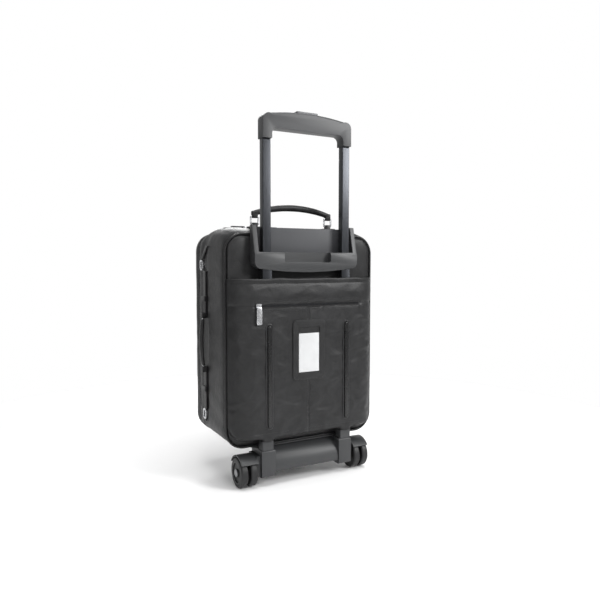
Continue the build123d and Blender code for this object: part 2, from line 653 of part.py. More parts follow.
with BuildPart() as lid_zip:
    with BuildSketch(Plane.XZ.offset(-SEAM_Y + ZIP_GAP)):
        with Locations((0, LID_MID_Z)):
            RectangleRounded(2 * (HALF_W - TAPE_INSET), LID_H - 2 * TAPE_INSET, CORNER_R - TAPE_INSET)
            RectangleRounded(
                2 * (HALF_W - TAPE_INSET - SEAM_TAPE_T),
                LID_H - 2 * TAPE_INSET - 2 * SEAM_TAPE_T,
                CORNER_R - TAPE_INSET - SEAM_TAPE_T,
                mode=Mode.SUBTRACT,
            )
    extrude(amount=ZIP_HALF - ZIP_GAP)
lid_zip.part.label = "lid_zip"
export_step(lid_zip.part, "parts/lid_zip.step")

with BuildPart() as lid_panel:
    with BuildSketch(Plane.XZ.offset(-LID_FACE_Y - LID_PANEL_T)):
        with Locations((0, LID_MID_Z)):
            RectangleRounded(2 * HALF_W, LID_H, CORNER_R)
    extrude(amount=LID_PANEL_T)
    fillet(lid_panel.faces().sort_by(Axis.Y)[0].edges(), LID_EASE)
lid_panel.part.label = "lid_panel"
export_step(lid_panel.part, "parts/lid_panel.step")

FRONT_HALF_W = 178.0
FRONT_SKIN = 3.0
UPPER_Z = (412.0, 543.0)
LOWER_Z = (90.0, 300.0)
SLIP_MOUTH = 6.0
SLIP_FLOOR_Z = LOWER_Z[0] + 24.0
SLIP_SIDE = 12.0
UPPER_FULL_Z = sum(UPPER_Z) / 2 + 8.0
LOWER_FULL = (FRONT_Y + 0.5, LOWER_Z[0] + 42.0)
LOWER_TURN = (LID_FACE_Y - 9.5, LOWER_Z[0] + 14.0)
SLIP_LIP_Y = LID_FACE_Y - SLIP_MOUTH - FRONT_SKIN
with BuildPart() as front_pocket_upper:
    with BuildSketch(Plane.YZ.offset(-FRONT_HALF_W)):
        with BuildLine():
            Line((LID_FACE_Y, UPPER_Z[0]), (LID_FACE_Y, UPPER_Z[1]))
            ThreePointArc(
                (LID_FACE_Y, UPPER_Z[0]), (FRONT_Y, UPPER_FULL_Z), (LID_FACE_Y, UPPER_Z[1])
            )
        make_face()
    extrude(amount=2 * FRONT_HALF_W)
    with BuildSketch(Plane.XZ.offset(-LID_FACE_Y)):
        with Locations((0, LID_MID_Z)):
            RectangleRounded(2 * FRONT_HALF_W + 2, LID_H, CORNER_R)
    extrude(amount=LID_FACE_Y - FRONT_Y, mode=Mode.INTERSECT)
front_pocket_upper.part.label = "front_pocket_upper"
export_step(front_pocket_upper.part, "parts/front_pocket_upper.step")

with BuildPart() as front_pocket_lower:
    with BuildSketch(Plane.YZ.offset(-FRONT_HALF_W)):
        with BuildLine():
            ThreePointArc((LID_FACE_Y, LOWER_Z[0]), LOWER_TURN, LOWER_FULL)
            Polyline(
                LOWER_FULL,
                (SLIP_LIP_Y, LOWER_Z[1]),
                (LID_FACE_Y, LOWER_Z[1]),
                (LID_FACE_Y, LOWER_Z[0]),
            )
        make_face()
    extrude(amount=2 * FRONT_HALF_W)
    with BuildSketch(Plane.XZ.offset(-LID_FACE_Y)):
        with Locations((0, (LOWER_Z[0] + FRONT_TOP_Z) / 2)):
            RectangleRounded(2 * FRONT_HALF_W, FRONT_TOP_Z - LOWER_Z[0], CORNER_R)
    extrude(amount=LID_FACE_Y - FRONT_Y, mode=Mode.INTERSECT)
    with BuildSketch(Plane.YZ.offset(-FRONT_HALF_W + SLIP_SIDE)):
        with BuildLine():
            Polyline(
                (LID_FACE_Y, SLIP_FLOOR_Z),
                (LID_FACE_Y - SLIP_MOUTH, SLIP_FLOOR_Z),
                (LID_FACE_Y - SLIP_MOUTH, LOWER_Z[1] + 1),
                (LID_FACE_Y, LOWER_Z[1] + 1),
                close=True,
            )
        make_face()
    extrude(amount=2 * (FRONT_HALF_W - SLIP_SIDE), mode=Mode.SUBTRACT)
front_pocket_lower.part.label = "front_pocket_lower"
export_step(front_pocket_lower.part, "parts/front_pocket_lower.step")

FRONT_ZIP_Z = 392.0
FRONT_ZIP_HALF_L = 150.0
FRONT_TAPE_T = 1.2
with BuildPart() as front_zip:
    with BuildSketch(Plane.XZ.offset(-LID_FACE_Y)):
        with Locations((0, FRONT_ZIP_Z)):
            Rectangle(2 * FRONT_ZIP_HALF_L, ZIP_W)
    extrude(amount=FRONT_TAPE_T)
front_zip.part.label = "front_zip"
export_step(front_zip.part, "parts/front_zip.step")

# ---- zip sliders and pullers: one on the back pocket, one on the lid ---------------------------
SLIDER = (12.0, 10.0, 2.2)
SLIDER_X = {"pocket": 120.0, "front": 140.0}
SLIDER_FACE = {
    # how far out the slider's back lies, which way it faces, and its zip
    "pocket": (POCKET_FACE_Y + 0.5, -1, ZIP_Z),
    "front": (-LID_FACE_Y + 1.4, 1, FRONT_ZIP_Z),
}
SLIDER_R = 2.0
PULLER = (12.0, 34.0, 1.6)
PULLER_R = 3.0
PULLER_EYE_L = 7.2
PIN_R = 1.0
PIN_FIT = 0.06
PIN_DROP = 3.0
PIN_STANDOFF = 2.0
EYE_WALL = 0.74
LUG_X = 4.8
LUG = (1.2, 2.0)
LUG_REACH = PIN_STANDOFF + 0.8
PLATE_DROP = 1.4          # from the pin's middle to the plate's top edge
for place, (face_y, facing, zip_z) in SLIDER_FACE.items():
    base_plane = Plane.XZ.offset(facing * face_y)
    pin_y = -facing * (face_y + SLIDER[2] + PIN_STANDOFF)
    pin_z = zip_z - PIN_DROP
    with BuildPart() as zip_slider:
        with BuildSketch(base_plane):
            with Locations((SLIDER_X[place], zip_z)):
                RectangleRounded(*SLIDER[:2], SLIDER_R)
        extrude(amount=facing * SLIDER[2])
        # bridge that carries the puller
        for lug in (-1, 1):
            with BuildSketch(Plane.XZ.offset(facing * (face_y + SLIDER[2]))):
                with Locations((SLIDER_X[place] + lug * LUG_X, pin_z)):
                    Rectangle(*LUG)
            extrude(amount=facing * LUG_REACH)
        with BuildSketch(Plane.YZ.offset(SLIDER_X[place] - LUG_X)):
            with Locations((pin_y, pin_z)):
                Circle(PIN_R)
        extrude(amount=2 * LUG_X)
    zip_slider.part.label = f"{place}_slider"
    export_step(zip_slider.part, f"parts/{place}_slider.step")

    with BuildPart() as zip_puller:
        with BuildSketch(Plane.YZ.offset(SLIDER_X[place] - PULLER_EYE_L / 2)):
            with Locations((pin_y, pin_z)):
                Circle(PIN_R + PIN_FIT + EYE_WALL)
                Circle(PIN_R + PIN_FIT, mode=Mode.SUBTRACT)
        extrude(amount=PULLER_EYE_L)
        plate_mid_z = pin_z - PLATE_DROP - PULLER[1] / 2
        with BuildSketch(Plane.XZ.offset(-pin_y - PULLER[2] / 2)):
            with Locations((SLIDER_X[place], plate_mid_z)):
                RectangleRounded(PULLER[0], PULLER[1], PULLER_R)
        extrude(amount=PULLER[2])
    zip_puller.part.label = f"{place}_puller"
    export_step(zip_puller.part, f"parts/{place}_puller.step")

# ---- zip pulls lying on the top ----------------------------------------------------------------
TOP_PULLS = {"left": (51.0, 21.0), "right": (103.0, 133.0)}
PULL_PIN_Z = CROWN_Z + 3.4
PULL_W = 9.0
PULL_T = 2.4
PULL_R = 3.0
PULL_EYE_R = 1.9
PULL_START = 1.5          # from the pin's middle to the start of the flat tab
for side, (pin_x, tip_x) in TOP_PULLS.items():
    with BuildPart() as top_pull:
        with BuildSketch(Plane.XZ.offset(-TOP_ZIP_Y - PULL_W / 2)):
            with Locations((pin_x, PULL_PIN_Z)):
                Circle(PULL_EYE_R)
                Circle(PIN_R + PIN_FIT, mode=Mode.SUBTRACT)
        extrude(amount=PULL_W)
        start_x = pin_x + (PULL_START if tip_x > pin_x else -PULL_START)
        with BuildSketch(Plane.XY.offset(PULL_PIN_Z - PULL_T / 2)):
            with Locations(((start_x + tip_x) / 2, TOP_ZIP_Y)):
                RectangleRounded(abs(tip_x - start_x), PULL_W, PULL_R)
        extrude(amount=PULL_T)
    top_pull.part.label = f"top_pull_{side}"
    export_step(top_pull.part, f"parts/top_pull_{side}.step")

# ---- metal fittings fixed to the leather: side rings, handle pins, top zip sliders -------------
RING_PLACES = [(-52.0, 475.0), (-38.0, 137.0)]
RING = (14.0, 20.0)
RING_WIRE_R = 1.8
RING_CORNER_R = (6.0, 3.0)
RING_STANDOFF = 0.2
RING_X = HALF_W + RING_WIRE_R + RING_STANDOFF
SIDE_PIN_L = 22.0
SIDE_PIN_R = 2.0
SIDE_PIN_FIT = 0.08
SIDE_PIN_LOW_Z = (SIDE_HANDLE_Z[0] - 13.0, SIDE_HANDLE_Z[1] - 9.0)
TOP_SLIDER = (8.0, 14.0, 1.0)
TOP_SLIDER_R = 1.5
TOP_LUG = (4.0, 1.8, 3.8)
TOP_LUG_Y = 5.8
with BuildPart() as strap_rings:
    for sign in SIDES.values():
        for ring_y, ring_z in RING_PLACES:
            with BuildSketch(Plane.YZ.offset(sign * RING_X - RING_WIRE_R)):
                with Locations((ring_y, ring_z)):
                    RectangleRounded(
                        RING[0] + 2 * RING_WIRE_R, RING[1] + 2 * RING_WIRE_R, RING_CORNER_R[0]
                    )
                    RectangleRounded(
                        RING[0] - 2 * RING_WIRE_R,
                        RING[1] - 2 * RING_WIRE_R,
                        RING_CORNER_R[1],
                        mode=Mode.SUBTRACT,
                    )
            extrude(amount=2 * RING_WIRE_R)
    # pins that the side handle turns on
    for low_z in SIDE_PIN_LOW_Z:
        with BuildSketch(Plane.XY.offset(low_z)):
            with Locations((SIDE_PIN_X, SIDE_Y)):
                Circle(SIDE_PIN_R)
        extrude(amount=SIDE_PIN_L)
    # sliders of the top zip, each with a cross pin for its pull
    for pin_x, tip_x in TOP_PULLS.values():
        with BuildSketch(Plane.XY.offset(CROWN_Z + 0.2)):
            with Locations((pin_x, TOP_ZIP_Y)):
                RectangleRounded(*TOP_SLIDER[:2], TOP_SLIDER_R)
        extrude(amount=TOP_SLIDER[2])
        for lug in (-1, 1):
            with BuildSketch(Plane.XZ.offset(-TOP_ZIP_Y + lug * TOP_LUG_Y - TOP_LUG[1] / 2)):
                with Locations((pin_x, CROWN_Z + 3.0)):
                    Rectangle(TOP_LUG[0], TOP_LUG[2])
            extrude(amount=TOP_LUG[1])
        with BuildSketch(Plane.XZ.offset(-TOP_ZIP_Y - TOP_LUG_Y)):
            with Locations((pin_x, PULL_PIN_Z)):
                Circle(PIN_R)
        extrude(amount=2 * TOP_LUG_Y)
strap_rings.part.label = "strap_rings"
export_step(strap_rings.part, "parts/strap_rings.step")

# ---- side straps, keepers and the tabs of the side handle --------------------------------------
STRAP_W = 18.0
STRAP_UPPER_Z = (368.5, 462.0)
STRAP_LOWER_Z = (150.0, 234.5)
KEEPER_Z = (400.0, 196.0)
KEEPER = (22.0, 12.0)
KEEPER_T = 6.5
TAB_T = SIDE_PIN_X + 3.5 - HALF_W
BRACE_T = 2.5
UPPER_BRACE = ((-58, 489), (-44, 489), (-12, 518), (-26, 518))
LOWER_BRACE = ((-45, 124), (-31, 124), (-30, 121), (-44, 121))
SIDE_TAB_H = 12.0
SIDE_TAB_STEP = 7.5       # from the end of the handle to the middle of its tab
with BuildPart() as side_straps:
    for sign in SIDES.values():
        with BuildSketch(Plane.YZ.offset(sign * HALF_W)):
            for low_z, high_z in (STRAP_UPPER_Z, STRAP_LOWER_Z):
                with Locations((SIDE_Y, (low_z + high_z) / 2)):
                    Rectangle(STRAP_W, high_z - low_z)
            if sign < 0:
                with Locations((SIDE_Y, (STRAP_LOWER_Z[1] + STRAP_UPPER_Z[0]) / 2)):
                    Rectangle(STRAP_W, STRAP_UPPER_Z[0] - STRAP_LOWER_Z[1])
        extrude(amount=sign * STRAP_T)
        with BuildSketch(Plane.YZ.offset(sign * HALF_W)):
            with Locations(*[(SIDE_Y, keeper_z) for keeper_z in KEEPER_Z]):
                Rectangle(*KEEPER)
        extrude(amount=sign * KEEPER_T)
        # braces from the rings to the top and bottom edges
        with BuildSketch(Plane.YZ.offset(sign * HALF_W)):
            for brace in (UPPER_BRACE, LOWER_BRACE):
                with BuildLine():
                    Polyline(*brace, close=True)
                make_face()
        extrude(amount=sign * BRACE_T)
    # tabs that hold the pins of the side handle
    for tab_z in (SIDE_HANDLE_Z[1] + SIDE_TAB_STEP, SIDE_HANDLE_Z[0] - SIDE_TAB_STEP):
        with BuildSketch(Plane.YZ.offset(HALF_W)):
            with Locations((SIDE_Y, tab_z)):
                Rectangle(STRAP_W - 2, SIDE_TAB_H)
        extrude(amount=TAB_T)
    for low_z in SIDE_PIN_LOW_Z:
        with BuildSketch(Plane.XY.offset(low_z)):
            with Locations((SIDE_PIN_X, SIDE_Y)):
                Circle(SIDE_PIN_R)
        extrude(amount=SIDE_PIN_L, mode=Mode.SUBTRACT)
side_straps.part.label = "side_straps"
export_step(side_straps.part, "parts/side_straps.step")

# ---- side handle -------------------------------------------------------------------------------
SIDE_GRIP = (8.0, 18.0)
SIDE_BOW = 3.5
SIDE_GRIP_R = 3.4
SIDE_BORE_L = 10.3
SIDE_MID_Z = sum(SIDE_HANDLE_Z) / 2
with BuildPart() as side_grip:
    with BuildLine() as grip_bow:
        ThreePointArc(
            (SIDE_PIN_X, SIDE_Y, SIDE_HANDLE_Z[0]),
            (SIDE_PIN_X + SIDE_BOW, SIDE_Y, SIDE_MID_Z),
            (SIDE_PIN_X, SIDE_Y, SIDE_HANDLE_Z[1]),
        )
    with BuildSketch(Plane(grip_bow.line @ 0, x_dir=(0, 1, 0), z_dir=grip_bow.line % 0)):
        RectangleRounded(SIDE_GRIP[1], SIDE_GRIP[0], SIDE_GRIP_R)
    sweep(path=grip_bow.line)
    for low_z in (SIDE_HANDLE_Z[0] - 1.0, SIDE_HANDLE_Z[1] + 1.0 - SIDE_BORE_L):
        with BuildSketch(Plane.XY.offset(low_z)):
            with Locations((SIDE_PIN_X, SIDE_Y)):
                Circle(SIDE_PIN_R + SIDE_PIN_FIT)
        extrude(amount=SIDE_BORE_L, mode=Mode.SUBTRACT)
side_grip.part.label = "side_grip"
export_step(side_grip.part, "parts/side_grip.step")

# ---- carry handle, its loops and the chapes on the top -----------------------------------------
GRIP_R = 7.0
ARCH_END_Z = 590.0
ARCH_TOP_Z = 604.0
TAB_HALF = 6.4
TAB_H = 15.0
TAB_DEPTH = 10.0
TAB_R = 3.0
TAB_MID_Z = LOOP_TOP_Z + 3.0
TAB_SLOT = 2 * LOOP_R + 0.4
LOOP_CORNER_R = 3.0
loop_wires = []
for sign in SIDES.values():
    with BuildSketch(Plane.XZ.offset(-HANDLE_Y)) as loop_route:
        with Locations((sign * LOOP_X, (LOOP_PIN_Z + LOOP_TOP_Z) / 2)):
            RectangleRounded(2 * LOOP_HALF, LOOP_TOP_Z - LOOP_PIN_Z, LOOP_CORNER_R)
    loop_wires.append(loop_route.sketch.faces()[0].outer_wire())
with BuildPart() as carry_loops:
    for loop_wire in loop_wires:
        with BuildSketch(Plane(loop_wire @ 0, z_dir=loop_wire % 0)):
            Circle(LOOP_R)
        sweep(path=loop_wire)
carry_loops.part.label = "carry_loops"
export_step(carry_loops.part, "parts/carry_loops.step")

with BuildPart() as carry_grip:
    with BuildLine() as arch:
        ThreePointArc(
            (-LOOP_X, HANDLE_Y, ARCH_END_Z), (0, HANDLE_Y, ARCH_TOP_Z), (LOOP_X, HANDLE_Y, ARCH_END_Z)
        )
    with BuildSketch(Plane(arch.line @ 0, z_dir=arch.line % 0)):
        Circle(GRIP_R)
    sweep(path=arch.line)
    with BuildSketch(Plane.XZ.offset(-HANDLE_Y - TAB_DEPTH / 2)):
        with Locations((-LOOP_X, TAB_MID_Z), (LOOP_X, TAB_MID_Z)):
            RectangleRounded(2 * TAB_HALF, TAB_H, TAB_R)
    extrude(amount=TAB_DEPTH)
    with BuildSketch(Plane.YZ.offset(-LOOP_X - 2 * LOOP_HALF)):
        with Locations((HANDLE_Y, LOOP_TOP_Z)):
            Circle(LOOP_R)
    extrude(amount=2 * LOOP_X + 4 * LOOP_HALF, mode=Mode.SUBTRACT)
    for sign in SIDES.values():
        with BuildSketch(Plane.XY.offset(LOOP_PIN_Z)):
            with Locations(
                (sign * (LOOP_X - LOOP_HALF), HANDLE_Y), (sign * (LOOP_X + LOOP_HALF), HANDLE_Y)
            ):
                Rectangle(TAB_SLOT, TAB_SLOT)
        extrude(amount=LOOP_TOP_Z + TAB_SLOT / 2 - LOOP_PIN_Z, mode=Mode.SUBTRACT)
carry_grip.part.label = "carry_grip"
export_step(carry_grip.part, "parts/carry_grip.step")

CHAPE_TOP_Z = CROWN_Z + 2.0
CHAPE_EYE = (12.0, 9.0)
CHAPE_EYE_TOP_Z = LOOP_PIN_Z + 3.6
CHAPE_FIT = 0.08
with BuildPart() as handle_chapes:
    with BuildSketch(Plane.XY.offset(CHAPE_FLOOR)):
        with Locations((-LOOP_X, HANDLE_Y), (LOOP_X, HANDLE_Y)):
            Rectangle(*CHAPE)
    extrude(amount=CHAPE_TOP_Z - CHAPE_FLOOR)
    with BuildSketch(Plane.XY.offset(CHAPE_TOP_Z)):
        with Locations((-LOOP_X, HANDLE_Y), (LOOP_X, HANDLE_Y)):
            Rectangle(*CHAPE_EYE)
    extrude(amount=CHAPE_EYE_TOP_Z - CHAPE_TOP_Z)
    with BuildSketch(Plane.YZ.offset(-LOOP_X - 2 * LOOP_HALF)):
        with Locations((HANDLE_Y, LOOP_PIN_Z)):
            Circle(LOOP_R + CHAPE_FIT)
    extrude(amount=2 * LOOP_X + 4 * LOOP_HALF, mode=Mode.SUBTRACT)
handle_chapes.part.label = "handle_chapes"
export_step(handle_chapes.part, "parts/handle_chapes.step")

# ---- pull handle: sliding tubes, bottom plugs and grip -----------------------------------------
INNER_TUBE_R = (1.6, 0.6)
INNER_BORE = (INNER_TUBE[0] - 2 * INNER_WALL, INNER_TUBE[1] - 2 * INNER_WALL)
for side, sign in SIDES.items():
    with BuildPart() as inner_tube:
        with BuildSketch(Plane.XY.offset(INNER_TUBE_Z[0])):
            with Locations((sign * TUBE_X, TUBE_Y)):
                RectangleRounded(*INNER_TUBE, INNER_TUBE_R[0])
                RectangleRounded(*INNER_BORE, INNER_TUBE_R[1], mode=Mode.SUBTRACT)
        extrude(amount=INNER_TUBE_Z[1] - INNER_TUBE_Z[0])
    inner_tube.part.label = f"inner_tube_{side}"
    export_step(inner_tube.part, f"parts/inner_tube_{side}.step")

PLUG_H = 8.0
LOCK_PIN_R = 2.0
LOCK_PIN_Z = INNER_TUBE_Z[0] - PLUG_H / 2
LOCK_PIN_Y = (98.6, 109.0)
LOCK_PIN_FIT = 0.06
LOCK_GUIDE_Y = LOCK_PIN_Y[0] - 2.5
PLUG_FIT = 0.1
with BuildPart() as tube_plugs:
    with BuildSketch(Plane.XY.offset(INNER_TUBE_Z[0] - PLUG_H)):
        with Locations((-TUBE_X, TUBE_Y), (TUBE_X, TUBE_Y)):
            RectangleRounded(INNER_TUBE[0] + PLUG_FIT, INNER_TUBE[1] + PLUG_FIT, INNER_TUBE_R[0])
    extrude(amount=PLUG_H)
    with BuildSketch(Plane.XY.offset(INNER_TUBE_Z[0])):
        with Locations((-TUBE_X, TUBE_Y), (TUBE_X, TUBE_Y)):
            RectangleRounded(INNER_BORE[0] - PLUG_FIT, INNER_BORE[1] - PLUG_FIT, INNER_TUBE_R[1])
    extrude(amount=2 * PLUG_H)
    # guides of the lock pins, open at the back
    with BuildSketch(Plane.XZ.offset(-LOCK_GUIDE_Y)):
        with Locations((-TUBE_X, LOCK_PIN_Z), (TUBE_X, LOCK_PIN_Z)):
            Circle(LOCK_PIN_R + LOCK_PIN_FIT)
    extrude(amount=-INNER_TUBE[1], mode=Mode.SUBTRACT)
tube_plugs.part.label = "tube_plugs"
export_step(tube_plugs.part, "parts/tube_plugs.step")

with BuildPart() as lock_pins:
    with BuildSketch(Plane.XZ.offset(-LOCK_PIN_Y[0])):
        with Locations((-TUBE_X, LOCK_PIN_Z), (TUBE_X, LOCK_PIN_Z)):
            Circle(LOCK_PIN_R)
    extrude(amount=-(LOCK_PIN_Y[1] - LOCK_PIN_Y[0]))
lock_pins.part.label = "lock_pins"
export_step(lock_pins.part, "parts/lock_pins.step")

GRIP_CORNER = 14.0
GRIP_INNER_R = 12.0
GRIP_INNER_X = GRIP_HALF_W - GRIP_LEG
YOKE_Z = (776.0, 783.0)
CAVITY_Z = (766.5, 788.0)
SHOULDER_Z = 790.0
BAR_EASE = 5.0
YOKE_ROOM = (2 * (GRIP_INNER_X + 13.5), 17.0)
BUTTON_GAP = 0.8
BUTTON_R = 3.0
with BuildPart() as grip_shell:
    with BuildSketch(Plane.XZ.offset(-TUBE_Y - GRIP_DEPTH / 2)):
        with BuildLine():
            for sign in SIDES.values():
                outer_x = sign * GRIP_HALF_W
                inner_x = sign * GRIP_INNER_X
                Polyline(
                    (outer_x, SHOULDER_Z - GRIP_CORNER),
                    (outer_x, GRIP_BOTTOM_Z),
                    (inner_x, GRIP_BOTTOM_Z),
                    (inner_x, GRIP_BAR_Z - GRIP_INNER_R),
                )
                inner_mid = GRIP_INNER_R * (1 - DIAGONAL)
                ThreePointArc(
                    (inner_x, GRIP_BAR_Z - GRIP_INNER_R),
                    (inner_x - sign * inner_mid, GRIP_BAR_Z - inner_mid),
                    (inner_x - sign * GRIP_INNER_R, GRIP_BAR_Z),
                )
                outer_mid = GRIP_CORNER * (1 - DIAGONAL)
                ThreePointArc(
                    (outer_x, SHOULDER_Z - GRIP_CORNER),
                    (outer_x - sign * outer_mid, SHOULDER_Z - outer_mid),
                    (outer_x - sign * GRIP_CORNER, SHOULDER_Z),
                )
            bar_x = GRIP_INNER_X - GRIP_INNER_R
            Line((-bar_x, GRIP_BAR_Z), (bar_x, GRIP_BAR_Z))
            top_x = GRIP_HALF_W - GRIP_CORNER
            ThreePointArc((-top_x, SHOULDER_Z), (0, GRIP_TOP_Z), (top_x, SHOULDER_Z))
        make_face()
    extrude(amount=GRIP_DEPTH)
    bar_edges = grip_shell.edges().filter_by(GeomType.CIRCLE)
    fillet(bar_edges.group_by(SortBy.LENGTH)[-1], BAR_EASE)
    # room for the yoke and the button, and seats for the tubes
    with BuildSketch(Plane.XY.offset(CAVITY_Z[0])):
        with Locations((0, TUBE_Y)):
            Rectangle(*YOKE_ROOM)
    extrude(amount=CAVITY_Z[1] - CAVITY_Z[0], mode=Mode.SUBTRACT)
    with BuildSketch(Plane.XY.offset(CAVITY_Z[0])):
        with Locations((0, TUBE_Y)):
            RectangleRounded(
                BUTTON[0] + BUTTON_GAP, BUTTON[1] + BUTTON_GAP, BUTTON_R + BUTTON_GAP / 2
            )
    extrude(amount=2 * GRIP_DEPTH, mode=Mode.SUBTRACT)
    with BuildSketch(Plane.XY.offset(GRIP_BOTTOM_Z)):
        with Locations((-TUBE_X, TUBE_Y), (TUBE_X, TUBE_Y)):
            RectangleRounded(*INNER_TUBE, INNER_TUBE_R[0])
    extrude(amount=INNER_TUBE_Z[1] - GRIP_BOTTOM_Z, mode=Mode.SUBTRACT)
grip_shell.part.label = "grip_shell"
export_step(grip_shell.part, "parts/grip_shell.step")

# ---- release button with its yoke and push rods ------------------------------------------------
ROD_R = 2.5
ROD_LOW_Z = INNER_TUBE_Z[0] + 2 * PLUG_H + 6.0
BUTTON_TOP_Z = 802.0
BUTTON_EASE = 1.2
YOKE_DEPTH = 10.0
with BuildPart() as release_button:
    with BuildSketch(Plane.XY.offset(YOKE_Z[1])):
        with Locations((0, TUBE_Y)):
            RectangleRounded(*BUTTON, BUTTON_R)
    extrude(amount=BUTTON_TOP_Z - YOKE_Z[1])
    fillet(release_button.faces().sort_by(Axis.Z)[-1].edges(), BUTTON_EASE)
release_button.part.label = "release_button"
export_step(release_button.part, "parts/release_button.step")

with BuildPart() as push_rods:
    with BuildSketch(Plane.XY.offset(YOKE_Z[0])):
        with Locations((0, TUBE_Y)):
            Rectangle(2 * (TUBE_X + ROD_R), YOKE_DEPTH)
    extrude(amount=YOKE_Z[1] - YOKE_Z[0])
    with BuildSketch(Plane.XY.offset(ROD_LOW_Z)):
        with Locations((-TUBE_X, TUBE_Y), (TUBE_X, TUBE_Y)):
            Circle(ROD_R)
    extrude(amount=YOKE_Z[0] - ROD_LOW_Z)
push_rods.part.label = "push_rods"
export_step(push_rods.part, "parts/push_rods.step")
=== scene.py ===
import bpy
import bmesh
import json
from math import asin, cos, pi, radians, sin, sqrt
from mathutils import Matrix, Vector, noise


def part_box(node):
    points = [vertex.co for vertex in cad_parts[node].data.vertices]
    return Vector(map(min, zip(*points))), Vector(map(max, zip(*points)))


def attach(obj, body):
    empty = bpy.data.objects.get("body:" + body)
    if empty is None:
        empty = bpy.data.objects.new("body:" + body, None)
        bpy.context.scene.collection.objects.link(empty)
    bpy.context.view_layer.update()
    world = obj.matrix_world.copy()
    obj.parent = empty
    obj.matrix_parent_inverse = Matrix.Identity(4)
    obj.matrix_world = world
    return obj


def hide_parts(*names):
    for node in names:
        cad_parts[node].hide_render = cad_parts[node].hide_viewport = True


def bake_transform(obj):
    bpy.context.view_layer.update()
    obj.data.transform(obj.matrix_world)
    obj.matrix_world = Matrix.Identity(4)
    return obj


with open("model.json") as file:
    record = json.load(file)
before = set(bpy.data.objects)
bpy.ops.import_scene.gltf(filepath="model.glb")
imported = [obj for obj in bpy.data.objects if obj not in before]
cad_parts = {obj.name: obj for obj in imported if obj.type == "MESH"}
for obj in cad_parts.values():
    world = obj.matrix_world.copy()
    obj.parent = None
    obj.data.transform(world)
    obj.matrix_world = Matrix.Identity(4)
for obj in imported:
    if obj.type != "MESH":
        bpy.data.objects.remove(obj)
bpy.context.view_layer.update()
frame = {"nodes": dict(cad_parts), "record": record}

# ---- Studio ----------------------------------------------
# A pale floor under large soft lamps, and a camera a little below the top of the case, behind
# it and to its right, as a catalogue picture is taken.
scene = bpy.context.scene
scene.view_settings.view_transform = "Standard"

CAMERA_PLACE = Vector((0.6085, 1.2180, 0.4800))
CAMERA_YAW = radians(28.0)
CAMERA_PITCH = radians(3.65)
camera_data = bpy.data.cameras.new("studio_camera")
camera_data.lens = 34.8
camera_data.sensor_width = 36.0
camera = bpy.data.objects.new("studio_camera", camera_data)
scene.collection.objects.link(camera)
camera.location = CAMERA_PLACE
look = Vector((
    -sin(CAMERA_YAW) * cos(CAMERA_PITCH), -cos(CAMERA_YAW) * cos(CAMERA_PITCH), -sin(CAMERA_PITCH),
))
camera.rotation_euler = look.to_track_quat("-Z", "Y").to_euler()
scene.camera = camera

SOFTBOXES = {
    # name: place, aim, width and height in metres, watts
    "key_softbox": ((-1.8, 2.3, 1.9), (0.0, 0.1, 0.40), (1.0, 1.0), 72.0),
    "strip_softbox": ((1.15, 2.2, 0.8), (0.0, 0.1, 0.45), (0.22, 1.2), 9.0),
    "top_softbox": ((0.0, 0.5, 2.9), (0.0, 0.0, 0.4), (2.0, 2.0), 62.0),
    "front_softbox": ((-1.0, -2.6, 1.9), (0.0, 0.0, 0.35), (1.2, 1.2), 42.0),
    "side_softbox": ((2.6, -0.9, 2.2), (0.0, 0.0, 0.35), (0.8, 0.8), 3.0),
}
for lamp_name, (place, aim, (lamp_w, lamp_h), watts) in SOFTBOXES.items():
    lamp_data = bpy.data.lights.new(lamp_name, "AREA")
    lamp_data.shape = "RECTANGLE"
    lamp_data.size = lamp_w
    lamp_data.size_y = lamp_h
    lamp_data.energy = watts
    lamp = bpy.data.objects.new(lamp_name, lamp_data)
    scene.collection.objects.link(lamp)
    lamp.location = place
    lamp.rotation_euler = (Vector(aim) - Vector(place)).to_track_quat("-Z", "Y").to_euler()


def srgb(code):
    """An sRGB hex colour as a linear RGBA value."""
    parts = [int(code[i:i + 2], 16) / 255 for i in (1, 3, 5)]
    return (*[p / 12.92 if p <= 0.04045 else ((p + 0.055) / 1.055) ** 2.4 for p in parts], 1.0)


def add_node(tree, kind, inputs=None, **settings):
    """Adds a node with its settings, and sets or links its inputs."""
    node = tree.nodes.new(kind)
    for setting, value in settings.items():
        setattr(node, setting, value)
    for socket, value in (inputs or {}).items():
        if isinstance(value, bpy.types.NodeSocket):
            tree.links.new(value, node.inputs[socket])
        else:
            node.inputs[socket].default_value = value
    return node


def start_material(name):
    """An empty node material, with its tree, its surface socket and its Object coordinates."""
    material = bpy.data.materials.new(name)
    material.use_nodes = True
    tree = material.node_tree
    tree.nodes.clear()
    output = tree.nodes.new("ShaderNodeOutputMaterial")
    place = tree.nodes.new("ShaderNodeTexCoord").outputs["Object"]
    return material, tree, output, place


def toned(tree, factor, dark, light):
    """A colour that runs from dark to light as a factor socket goes from 0 to 1."""
    mix = add_node(tree, "ShaderNodeMix", {
        "Factor": factor, "A": srgb(dark), "B": srgb(light),
    }, data_type="RGBA")
    return mix.outputs["Result"]


def noisy(tree, place, scale, detail, **more):
    """A noise value that varies over a place, at a scale per metre."""
    noise_inputs = {"Vector": place, "Scale": scale, "Detail": detail, **more}
    return add_node(tree, "ShaderNodeTexNoise", noise_inputs).outputs["Fac"]


def ranged(tree, value, low, high):
    """A value from 0 to 1 spread between low and high."""
    spread = {"Value": value, "To Min": low, "To Max": high}
    return add_node(tree, "ShaderNodeMapRange", spread).outputs["Result"]


def bumped(tree, height, strength, distance, under=None):
    """A normal tilted by a height value, on top of another bump if one is under it."""
    relief = {"Height": height, "Strength": strength, "Distance": distance}
    if under:
        relief["Normal"] = under
    return add_node(tree, "ShaderNodeBump", relief).outputs["Normal"]


